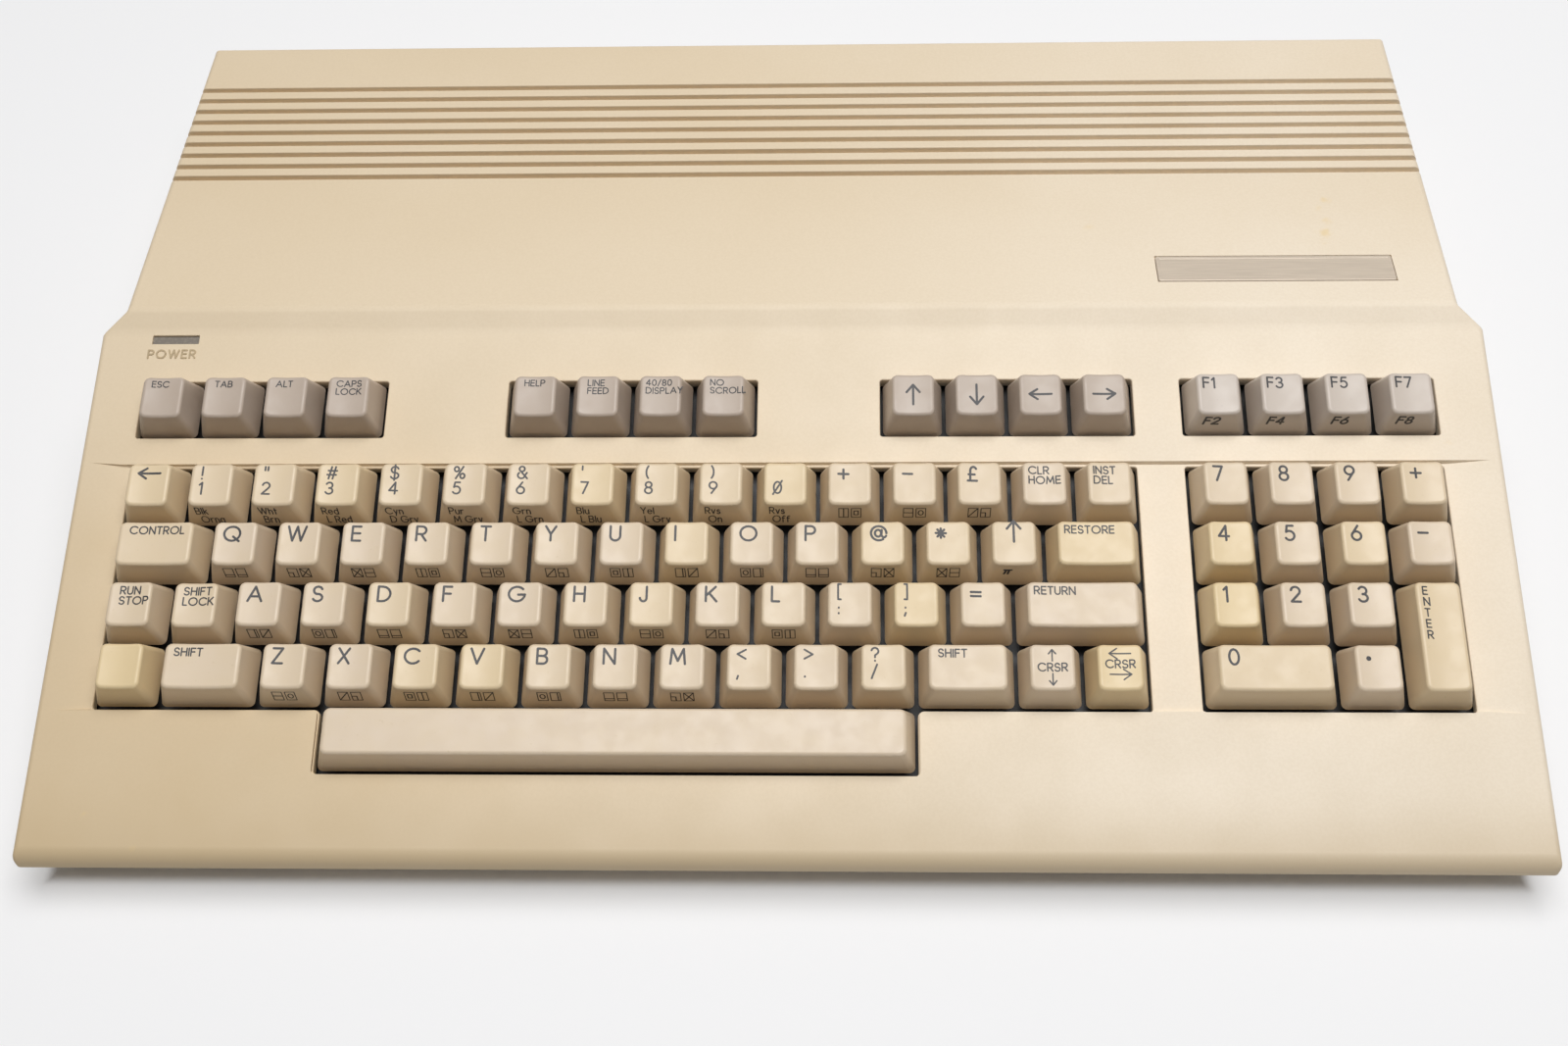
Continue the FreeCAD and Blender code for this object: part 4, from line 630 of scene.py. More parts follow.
def rounded_wedge():
    """The outer form with every main edge rounded by its own radius."""
    case = case_sizes()
    form = Shape()
    form.ring(case_corners(0, 0))
    form.faces = case_faces()
    thing = form.build("upper_case_shell")
    half_turn = math.tan(math.radians(HALF_EDGE_TURN))
    widths = {(1, 8): case.lip_radius * half_turn, (4, 11): case.rear_radius * half_turn,
              (2, 9): case.ramp_radius, (3, 10): case.ramp_radius}
    for start in (0, 7):
        widths[(start, start + 1)] = case.corner_radius
        widths[(start + 4, start + 5)] = case.corner_radius
        for i in (1, 2, 3):
            widths[(start + i, start + i + 1)] = case.side_radius
    widest = max(widths.values())
    weights = thing.data.attributes.new("bevel_weight_edge", "FLOAT", "EDGE")
    for edge in thing.data.edges:
        weights.data[edge.index].value = widths.get(tuple(sorted(edge.vertices)), 0) / widest
    bevel = thing.modifiers.new("round", "BEVEL")
    bevel.limit_method = "WEIGHT"
    bevel.width = widest
    bevel.segments = BEVEL_STEPS
    bevel.use_clamp_overlap = False
    bake_modifiers(thing)
    return thing


WELL_CORNER = 1.3 * MM
LENS_EDGE = 0.2 * MM
BAND_FADE = 4 * MM
BAND_OVERLAP = 20 * HAIR
CREASE_SHARE = 1.4


def cut_band(thing):
    """The shallow sunk band around the keys, which fades out towards the sides."""
    case, keys, face = case_sizes(), key_sizes(), deck()
    left, right = -keys.well_gap, keys.pad + 4 * keys.pitch + keys.well_gap
    edge = CASE_HIGH.x + keys.block_left - BAND_FADE
    far = keys.block_left - CASE_HIGH.x + BAND_FADE
    crease = case.edge_flare * CREASE_SHARE
    profile = [(far, 0), (left, -case.band_sink), (right, -case.band_sink), (edge, 0),
               (edge, CUT_OVERRUN), (far, CUT_OVERRUN)]
    low, high = -keys.well_gap - BAND_OVERLAP, case.band_length - keys.well_gap + BAND_OVERLAP
    rings = []
    for end, inward in ((low, 1), (high, -1)):
        places = [(a, end + inward * crease * (-c / case.band_sink if c < 0 else 0), c) for a, c in profile]
        rings.append([face.at(*place) for place in places])
    cutter = Shape()
    cutter.loft(rings)
    carve(thing, cutter)


def well_outline():
    """The main well, with the notch in front for the space bar."""
    keys = key_sizes()
    pitch, gap = keys.pitch, keys.well_gap
    return [(-gap, -gap), (3.5 * pitch - gap, -gap), (3.5 * pitch - gap, -pitch - gap),
            (12.5 * pitch + gap, -pitch - gap), (12.5 * pitch + gap, -gap), (16 * pitch + gap, -gap),
            (16 * pitch + gap, 4 * pitch + gap), (-gap, 4 * pitch + gap)]


def rectangle(left, low, right, high):
    return [(left, low), (right, low), (right, high), (left, high)]


def deck_openings(cutter):
    """The wells, the four upper openings and the slot for the lens."""
    case, keys, face = case_sizes(), key_sizes(), deck()
    depth = case.roof + CUT_OVERRUN
    gap, pitch = keys.well_gap, keys.pitch
    pad_well = rectangle(keys.pad - gap, -gap, keys.pad + 4 * pitch + gap, 4 * pitch + gap)
    for outline in (well_outline(), pad_well):
        flared_cutter(cutter, face, round_corners(outline, WELL_CORNER), -case.band_sink, depth,
                      case.edge_flare)
    for start in (0, 6 * pitch, 12 * pitch, keys.pad):
        outline = rectangle(start - gap, keys.strip - keys.strip_gap, start + 4 * pitch + gap,
                            keys.strip + pitch + keys.strip_gap)
        flared_cutter(cutter, face, round_corners(outline, WELL_CORNER), 0, depth, case.edge_flare)
    lens_top = case.keys_to_foot - case.lens_gap
    lens = rectangle(0, lens_top - case.lens_height, case.lens_length, lens_top)
    flared_cutter(cutter, face, round_corners(lens, 2 * LENS_EDGE, 2), 0, depth, LENS_EDGE)


GROOVE_FLARE_SHARE = 0.8
BADGE_GAP, BADGE_RECESS = 0.2 * MM, 0.9 * MM


def rear_openings(cutter):
    """Grooves across the rear top and the badge's recess."""
    case, face = case_sizes(), rear_top()
    reach = CASE_HIGH.x + CUT_OVERRUN
    half, flare = case.groove_width / 2, case.edge_flare * GROOVE_FLARE_SHARE
    for i in range(case.groove_count):
        middle = case.groove_start + i * case.groove_pitch + half
        # One half of a groove: its rounded lip, its wall and its rounded floor
        profile = [(-half - flare, CUT_OVERRUN), (-half - flare, HAIR), (-half - flare * 0.5, -flare * 0.13),
                   (-half - flare * 0.13, -flare * 0.5), (-half, -flare),
                   (-half, flare * 1.2 - case.groove_cut),
                   (-half * 0.65, flare * 0.35 - case.groove_cut), (-half * 0.2, -case.groove_cut)]
        profile += [(-b, c) for b, c in reversed(profile)]
        cutter.loft([[face.at(x, middle + b, c) for b, c in profile] for x in (-reach, reach)])
    low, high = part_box("name_badge")
    start = (low.y - face.start.y) / face.up.y
    end = (high.y - face.start.y) / face.up.y
    outline = rectangle(low.x - BADGE_GAP, start - BADGE_GAP, high.x + BADGE_GAP, end + BADGE_GAP)
    cutter.loft([[face.at(x, y, level) for x, y in outline] for level in (-BADGE_RECESS, CUT_OVERRUN)])


PORT_GAP = 0.5 * MM
CARD_PORT_MARGIN, CARD_PORT_HEADROOM = 1 * MM, 0.6 * MM
MONITOR_SILL = 2 * MM


def through_back_wall():
    """Two places along Y, one well inside the back wall and one well outside it."""
    case = case_sizes()
    return CASE_HIGH.y - case.rear_lean - case.wall - CUT_OVERRUN, CASE_HIGH.y + CUT_OVERRUN


def back_ports(cutter):
    """Square openings in the back wall, each a little larger than what shows in it."""
    start, end = through_back_wall()
    ports = {port["name"]: port["box_m"] for port in frame["record"]["physics"]["openings"]}
    for name in ("cartridge_port", "tape_port", "user_port"):
        low, high = ports[name]
        cutter.block((low[0] - CARD_PORT_MARGIN, start, low[2] - CARD_PORT_MARGIN),
                     (high[0] + CARD_PORT_MARGIN, end, high[2] + CARD_PORT_HEADROOM))
    low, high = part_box("monitor_socket")
    cutter.block((low.x - PORT_GAP, start, low.z + MONITOR_SILL), (high.x + PORT_GAP, end, high.z + PORT_GAP))


HOLLOW_OVERLAP = 1 * MM


def hollow_form():
    """The hollow: the same form drawn in by the walls, and open at the seam because it reaches below it."""
    form = Shape()
    case = case_sizes()
    inner = case_corners(case.wall, case.roof)
    for spot in (0, 5, 6, 7, 12, 13):
        inner[spot].z -= HOLLOW_OVERLAP
    form.ring(inner)
    form.faces = case_faces()
    return form


def circle(across, up, radius, step):
    """Points round a circle, so many degrees apart."""
    turns = [math.radians(degrees) for degrees in range(0, 360, step)]
    return [(across + radius * math.cos(turn), up + radius * math.sin(turn)) for turn in turns]


PORT_STEP, BUTTON_STEP = 10, 12
SOCKET_ASIDE, SOCKET_RADIUS = 8.5 * MM, 8.8 * MM
JACK_ASIDE, JACK_HOLE = 3 * MM, 6.5 * MM


def round_ports(cutter):
    """Round holes in the back wall for the two round sockets and the aerial jack."""
    low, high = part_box("round_sockets")
    holes = [(x, (low.z + high.z) / 2, SOCKET_RADIUS + PORT_GAP)
             for x in (low.x + SOCKET_ASIDE, high.x - SOCKET_ASIDE)]
    # The jack lies about as far to the left as the channel slider to the right. The slider itself has no slot
    # here, so its end lies hidden in the wall.
    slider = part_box("channel_slider")
    holes.append((-(slider[0].x + slider[1].x) / 2 - JACK_ASIDE, (slider[0].z + slider[1].z) / 2, JACK_HOLE))
    for x, z, radius in holes:
        cutter.loft([[(a, y, b) for a, b in circle(x, z, radius, PORT_STEP)] for y in through_back_wall()])


SIDE_DEPTH = 2.6 * CUT_OVERRUN
INLET_RIM = 1.6 * MM
ROCKER_REACH = 9.4 * MM
CONTROLLER_WIDTH, CONTROLLER_HEIGHT, CONTROLLER_FACE = 25 * MM, 11.4 * MM, 31 * MM


def side_ports(cutter):
    """Openings in the right wall for the power inlet, its switch, the reset button and two sockets."""
    start, end = CASE_HIGH.x - case_sizes().wall - SIDE_DEPTH, CASE_HIGH.x + CUT_OVERRUN
    low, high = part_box("power_socket")
    cutter.block((start, low.y + INLET_RIM, low.z + INLET_RIM), (end, high.y - INLET_RIM, high.z - INLET_RIM))
    low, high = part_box("power_rocker")
    joints = {joint["name"]: joint for joint in frame["record"]["behaviour"]["joints"]}
    pivot, reach = joints["power_rocker_tip"]["pos_m"][1], ROCKER_REACH + PORT_GAP
    cutter.block((start, pivot - reach, low.z - PORT_GAP), (end, pivot + reach, high.z + PORT_GAP))
    low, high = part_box("reset_button")
    middle, radius = (low + high) / 2, (high.z - low.z) / 2 + PORT_GAP
    outline = circle(middle.y, middle.z, radius, BUTTON_STEP)
    cutter.loft([[(x, a, b) for a, b in outline] for x in (start, end)])
    low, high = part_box("controller_sockets")
    middle_z = high.z - CONTROLLER_HEIGHT / 2
    half_width, half_height = CONTROLLER_WIDTH / 2 + PORT_GAP, CONTROLLER_HEIGHT / 2 + PORT_GAP
    for middle_y in (low.y + CONTROLLER_FACE / 2, high.y - CONTROLLER_FACE / 2):
        cutter.block((start, middle_y - half_width, middle_z - half_height),
                     (end, middle_y + half_width, middle_z + half_height))


class COMPUTER_OT_upper_case(bpy.types.Operator):
    """Model the upper case with its wells, grooves, recess and ports"""
    bl_idname = "computer.upper_case"
    bl_label = "Upper case"

    def execute(self, context):
        thing = rounded_wedge()
        cut_band(thing)
        carve(thing, hollow_form())
        cutter = Shape()
        for cut_openings in (deck_openings, rear_openings, back_ports, round_ports, side_ports):
            cut_openings(cutter)
        carve(thing, cutter)
        smooth(thing)
        finish_piece(thing, "case", case_plastic(), "case_plastic", ("upper_case",))
        return {"FINISHED"}


# Stage

CAMERA_PLACE = (21.05 * MM, -395.14 * MM, 506.04 * MM)
CAMERA_TURN = (36.067, 1.665, 1.1455)
CAMERA_LENS = 44.35


def seen_by_eye(tree):
    """One where the camera looks, also in a mirror or through glass, and nought in the light itself."""
    path = tree.nodes.new("ShaderNodeLightPath")
    seen = path.outputs["Is Camera Ray"]
    for name in ("Is Glossy Ray", "Is Transmission Ray"):
        either = tree.nodes.new("ShaderNodeMath")
        either.operation = "MAXIMUM"
        tree.links.new(seen, either.inputs[0])
        tree.links.new(path.outputs[name], either.inputs[1])
        seen = either.outputs[0]
    return seen


WORLD_COLOUR, WORLD_STRENGTH = (1, 0.985, 0.965, 1), 0.12
BACKDROP_COLOUR = (0.93, 0.93, 0.935, 1)


def white_world():
    """White behind everything, with less of it in the light itself."""
    world = bpy.data.worlds.new("studio_world")
    bpy.context.scene.world = world
    world.use_nodes = True
    tree = world.node_tree
    light = tree.nodes["Background"]
    light.inputs["Color"].default_value = WORLD_COLOUR
    light.inputs["Strength"].default_value = WORLD_STRENGTH
    backdrop = tree.nodes.new("ShaderNodeBackground")
    backdrop.inputs["Color"].default_value = BACKDROP_COLOUR
    choose = tree.nodes.new("ShaderNodeMixShader")
    tree.links.new(seen_by_eye(tree), choose.inputs[0])
    tree.links.new(light.outputs[0], choose.inputs[1])
    tree.links.new(backdrop.outputs[0], choose.inputs[2])
    tree.links.new(choose.outputs[0], tree.nodes["World Output"].inputs["Surface"])


def soft_lamp(name, place, aim, size, power):
    lamp = bpy.data.lights.new(name, "AREA")
    lamp.shape = "SQUARE"
    lamp.size = size
    lamp.energy = power
    thing = bpy.data.objects.new(name, lamp)
    thing.location = place
    thing.rotation_euler = (Vector(aim) - Vector(place)).to_track_quat("-Z", "Y").to_euler()
    bpy.context.scene.collection.objects.link(thing)


FADE_START, FADE_END = 0.42, 0.85
# How much painted light the floor shows beyond the case's footprint, and over how far it comes in
FLOOR_PAINTED_LIGHT, PAINTED_LIGHT_FADE = 0.45, 4.5 * MM
UNDER_X, UNDER_Y = 209 * MM, 152 * MM
FLOOR_HALF, FLOOR_SPECULAR, FLOOR_CLOUD = 3.0, 0.1, 0.5
LAMP_PLACE, LAMP_SIZE, LAMP_POWER = (0.12, 0.06, 1.45), 1.0, 21


def fade_far(paint):
    """Paint light on the floor around the computer, which lightens its shadow there, and let the floor go
    over into the backdrop far from it.
    """
    aside = paint.math("SUBTRACT", paint.math("ABSOLUTE", paint.along((1, 0, 0)), 0), UNDER_X)
    before = paint.math("SUBTRACT", paint.math("ABSOLUTE", paint.along((0, 1, 0)), 0), UNDER_Y)
    # Painted light: beyond the case's footprint the floor shows the camera some white of its own, which
    # lightens the shadow there.
    painted_floor_light = paint.ramp(paint.math("MAXIMUM", aside, before), 0, PAINTED_LIGHT_FADE, 0, FLOOR_PAINTED_LIGHT)
    white = paint.add("ShaderNodeEmission", (("Color", BACKDROP_COLOUR), ("Strength", 1))).outputs[0]
    lit = paint.add("ShaderNodeMixShader", ((0, paint.math("MULTIPLY", painted_floor_light, seen_by_eye(paint.tree))),
                                            (1, paint.shader.outputs[0]), (2, white)))
    share = paint.ramp(paint.distance((0, 0, 0)), FADE_START, FADE_END)
    clear = paint.add("ShaderNodeBsdfTransparent").outputs[0]
    blend = paint.add("ShaderNodeMixShader", ((0, share), (1, lit.outputs[0]), (2, clear)))
    paint.tree.links.new(blend.outputs[0], paint.tree.nodes["Material Output"].inputs["Surface"])


class COMPUTER_OT_stage(bpy.types.Operator):
    """Set up the floor, the soft studio light and the camera"""
    bl_idname = "computer.stage"
    bl_label = "Stage"

    def execute(self, context):
        white_world()
        floor = Shape()
        corners = rectangle(-FLOOR_HALF, -FLOOR_HALF, FLOOR_HALF, FLOOR_HALF)
        floor.faces.append(tuple(floor.ring([(x, y, 0) for x, y in corners])))
        thing = floor.build("studio_floor")
        paint = Paint("studio_floor", roughness=0.7)
        tint = tuple(colours().floor)
        paint.shader.inputs["Specular IOR Level"].default_value = FLOOR_SPECULAR
        thing.data.materials.append(paint.done(paint.mix(paint.noise(FLOOR_CLOUD), tint, shade(tint, 0.985))))
        fade_far(paint)
        soft_lamp("overhead_softbox", LAMP_PLACE, (0, 0, 0), LAMP_SIZE, LAMP_POWER)
        camera = bpy.data.cameras.new("camera")
        camera.lens = CAMERA_LENS
        camera.sensor_width = 36
        camera.clip_start = 0.01
        view = bpy.data.objects.new("camera", camera)
        view.location = CAMERA_PLACE
        view.rotation_euler = [math.radians(angle) for angle in CAMERA_TURN]
        bpy.context.scene.collection.objects.link(view)
        bpy.context.scene.camera = view
        bpy.context.scene.view_settings.view_transform = "Standard"
        return {"FINISHED"}


# Keys

SPACE, LOW, HOME, HIGH, NUMBERS, STRIP = range(-1, 5)
PAD = 100

# Each row of keys: its node, row, columns in key widths (pad columns count from PAD), key width, what is
# printed on top, what is printed on the front and how much each cap has aged, in tenths

KEY_ROWS = (
    ("escape_tab_alt_keys", STRIP, (0, 1, 2), 1, "ESC TAB ALT", "", "000"),
    ("caps_lock_key", STRIP, (3,), 1, "CAPS|LOCK", "", "0"),
    ("help_feed_scroll_keys", STRIP, (6, 7, 9), 1, "HELP LINE|FEED NO|SCROLL", "", "000"),
    ("display_key", STRIP, (8,), 1, "40/80|DISPLAY", "", "0"),
    ("arrow_keys", STRIP, (12, 13, 14, 15), 1, "↑ ↓ ← →", "", "1111"),
    ("function_keys", STRIP, (PAD, PAD + 1, PAD + 2, PAD + 3), 1, "F1 F3 F5 F7", "F2 F4 F6 F8", "8777"),
    ("back_arrow_key", NUMBERS, (0,), 1, "←", "", "5"),
    ("digit_keys_one_to_five", NUMBERS, (1, 2, 3, 4, 5), 1, "!1 \"2 #3 $4 %5",
     "Blk|~Orng Wht|~Brn Red|~L~Red Cyn|~D~Gry Pur|~M~Gry", "33532"),
    ("digit_keys_six_to_zero", NUMBERS, (6, 7, 8, 9, 10), 1, "&6 '7 (8 )9 0",
     "Grn|~L~Grn Blu|~L~Blu Yel|~L~Gry Rvs|~On Rvs|~Off", "26336"),
    ("number_row_end_keys", NUMBERS, (11, 12, 13, 14, 15), 1, "+ - £ CLR|HOME INST|DEL", "# # # . .",
     "22202"),
    ("control_key", HIGH, (0,), 1.5, "CONTROL", "", "3"),
    ("letter_keys_q_to_t", HIGH, (1.5, 2.5, 3.5, 4.5, 5.5), 1, "Q W E R T", "# # # # #", "01011"),
    ("letter_keys_y_to_p", HIGH, (6.5, 7.5, 8.5, 9.5, 10.5), 1, "Y U I O P", "# # # # #", "10511"),
    ("high_symbol_keys", HIGH, (11.5, 12.5, 13.5), 1, "@ * ↑", "# # π", "543"),
    ("restore_key", HIGH, (14.5,), 1.5, "RESTORE", "", "7"),
    ("stop_key", HOME, (0,), 1, "RUN|STOP", "", "1"),
    ("shift_lock_key", HOME, (1,), 1, "SHIFT|LOCK", "", "2"),
    ("letter_keys_a_to_g", HOME, (2, 3, 4, 5, 6), 1, "A S D F G", "# # # # #", "01310"),
    ("letter_keys_h_to_l", HOME, (7, 8, 9, 10), 1, "H J K L", "# # # #", "2412"),
    ("home_symbol_keys", HOME, (11, 12, 13), 1, "[: ]; =", "", "171"),
    ("return_key", HOME, (14,), 2, "RETURN", "", "0"),
    ("corner_key", LOW, (0,), 1, ".", "", "9"),
    ("left_shift_key", LOW, (1,), 1.5, "SHIFT", "", "1"),
    ("letter_keys_z_to_b", LOW, (2.5, 3.5, 4.5, 5.5, 6.5), 1, "Z X C V B", "# # # # #", "10562"),
    ("low_keys_n_to_slash", LOW, (7.5, 8.5, 9.5, 10.5, 11.5), 1, "N M <, >. ?/", "# # . . .", "11213"),
    ("right_shift_key", LOW, (12.5,), 1.5, "SHIFT", "", "1"),
    ("cursor_keys", LOW, (14, 15), 1, "↑|CRSR|↓ ←|CRSR|→", "", "09"),
    ("space_bar", SPACE, (3.5,), 9, ".", "", "0"),
    ("pad_digit_keys", HOME, (PAD, PAD + 1, PAD + 2), 1, "1 2 3", "", "900"),
    ("pad_digit_keys", HIGH, (PAD, PAD + 1, PAD + 2), 1, "4 5 6", "", "815"),
    ("pad_digit_keys", NUMBERS, (PAD, PAD + 1, PAD + 2), 1, "7 8 9", "", "101"),
    ("pad_sign_keys", HIGH, (PAD + 3,), 1, "-", "", "0"),
    ("pad_sign_keys", NUMBERS, (PAD + 3,), 1, "+", "", "3"),
    ("pad_sign_keys", LOW, (PAD + 2,), 1, "•", "", "0"),
    ("pad_enter_key", LOW, (PAD + 3,), 1, "E|N|T|E|R", "", "5"),
    ("pad_zero_key", LOW, (PAD,), 2, "0", "", "4"),
)
GREY_NODES = ("escape_tab_alt_keys", "caps_lock_key", "help_feed_scroll_keys", "display_key", "arrow_keys",
              "function_keys")
TALL_NODE, BAR_NODE, LOCK_NODE = "pad_enter_key", "space_bar", "shift_lock_key"
BLANK = "."
GAP_MARK = "~"
PICTURES = "#"
HEAD_GROW = 0.3
SMALLEST_CORNER = 0.3 * MM
CAP_STEPS = 6


class Key:
    """One key's place, size and print, with its cap's faces as surfaces to draw on."""

    def __init__(self, node, row, column, width, top_print, front_print, age):
        keys = key_sizes()
        self.node = node
        self.face = deck()
        self.left = keys.pad + (column - PAD) * keys.pitch if column >= PAD else column * keys.pitch
        self.low = keys.strip if row == STRIP else row * keys.pitch
        self.wide = width * keys.pitch
        self.long = keys.pitch * (2 if node == TALL_NODE else 1)
        self.top = keys.bar_top if node == BAR_NODE else keys.top
        self.dish = 0.0 if node == BAR_NODE else keys.dish
        self.drop = keys.lock_drop if node == LOCK_NODE else 0.0
        self.top_print = top_print
        self.front_print = front_print
        self.age = age

    def at(self, x, y, z):
        return self.face.at(self.left + x, self.low + y, z - self.drop)

    def dip(self, x):
        """How far the dished top lies below its side edges."""
        half = self.wide / 2 - key_sizes().side
        share = min(1, abs(x - self.wide / 2) / half)
        return self.dish * (1 - share * share)

    def on_top(self, x, y, lift):
        """A point on the top: x from the cell's left edge, y down from the top's rear edge."""
        return self.at(x, self.long - key_sizes().back + y, self.top - self.dip(x) + lift)

    def on_front(self, x, y, lift):
        """A point on the front face: y is how far it lies up from the face's top edge."""
        keys = key_sizes()
        rise = Vector((keys.front - keys.edge * HEAD_GROW - keys.gap, self.top + keys.skirt))
        share = 1 + y / rise.length
        out = Vector((-rise.y, rise.x)).normalized() * lift
        level = rise.y * share - keys.skirt - self.dip(x) * share * share
        return self.at(x, keys.gap + rise.x * share + out.x, level + out.y)


def all_keys():
    made = []
    for node, row, columns, width, tops, fronts, ages in KEY_ROWS:
        fronts = fronts.split() or [BLANK] * len(columns)
        for column, top, front, age in zip(columns, tops.split(), fronts, ages):
            made.append(Key(node, row, column, width, top, front, int(age) / 10))
    return made


def cap_ring(key, share, inset, level=None):
    """A ring round a cap, from its foot at share 0 to its top at share 1, drawn in by an inset."""
    keys = key_sizes()
    grow = keys.edge * HEAD_GROW

    def between(foot, head):
        return foot + (head - foot) * share

    corner = between(keys.foot_corner, keys.head_corner + grow)
    outline = rounded_rectangle(
        between(keys.gap, keys.side - grow) + inset, between(keys.gap, keys.front - grow) + inset,
        between(key.wide - keys.gap, key.wide - keys.side + grow) - inset,
        between(key.long - keys.gap, key.long - keys.back + grow) - inset,
        max(corner - inset, SMALLEST_CORNER), CAP_STEPS)
    base = -keys.skirt + (key.top + keys.skirt) * share if level is None else level
    return [key.at(x, y, base - key.dip(x) * share * share) for x, y in outline]


EDGE_STEPS = 4
FOOT_BEVEL = 0.35 * MM
INNER_SHARE, INNER_WALL_SHARE = 0.85, 0.7
SHAFT_CORNER, SHAFT_OVERLAP = 0.5 * MM, 0.3 * MM


def add_cap(shape, key):
    """A hollow cap with a dished top and rounded edges, and the square shaft below it."""
    keys = key_sizes()
    shape.tag = key.age
    height = key.top + keys.skirt
    start = 1 - keys.edge / height
    rings = [cap_ring(key, 0, FOOT_BEVEL), cap_ring(key, 0.03, 0), cap_ring(key, 0.5, 0),
             cap_ring(key, start, 0)]
    for step in range(1, EDGE_STEPS + 1):
        angle = math.pi / 2 * step / EDGE_STEPS
        rings.append(cap_ring(key, start + (1 - start) * math.sin(angle), keys.edge * (1 - math.cos(angle))))
    rows = [shape.ring(points) for points in rings]
    for i in range(len(rows) - 1):
        shape.skin(rows[i], rows[i + 1])
    rim = rows[-1]
    half = len(rim) // 2
    for i in range(half - 1):
        shape.faces.append((rim[i], rim[i + 1], rim[-i - 2], rim[-i - 1]))
    roof = key.top - keys.dish - keys.roof
    inner = [cap_ring(key, 0, keys.wall), cap_ring(key, INNER_SHARE, keys.wall * INNER_WALL_SHARE, roof)]
    inner_rows = [shape.ring(points) for points in inner]
    shape.skin(inner_rows[0], rows[0])
    shape.skin(inner_rows[1], inner_rows[0])
    shape.faces.append(tuple(inner_rows[1]))
    x, y, half_width = key.wide / 2, key.long / 2, keys.plunger / 2
    shaft = rounded_rectangle(x - half_width, y - half_width, x + half_width, y + half_width, SHAFT_CORNER)
    levels = (-keys.plunger_foot, roof + SHAFT_OVERLAP)
    shape.loft([[key.at(a, b, level) for a, b in shaft] for level in levels])


class COMPUTER_OT_key_caps(bpy.types.Operator):
    """Model the 92 key caps, one piece for each group of keys that moves together"""
    bl_idname = "computer.key_caps"
    bl_label = "Key caps"

    def execute(self, context):
        tint = colours()
        cream = cap_plastic("cream_cap", tuple(tint.cream), tuple(tint.cream_aged))
        grey = cap_plastic("grey_cap", tuple(tint.grey), tuple(tint.grey_pale))
        shapes = {}
        for key in all_keys():
            add_cap(shapes.setdefault(key.node, Shape()), key)
        for node, shape in shapes.items():
            thing = shape.build(node + "_caps")
            smooth(thing, SOFT_SHARP_ANGLE)
            material, slot = (grey, "grey_cap") if node in GREY_NODES else (cream, "cream_cap")
            finish_piece(thing, node, material, slot, (node,))
        return {"FINISHED"}


# Print: each sign is a few strokes in a box one unit high. L joins points with straight lines and O is an
# arc, given by its centre, its two radii and the angles between which it runs.

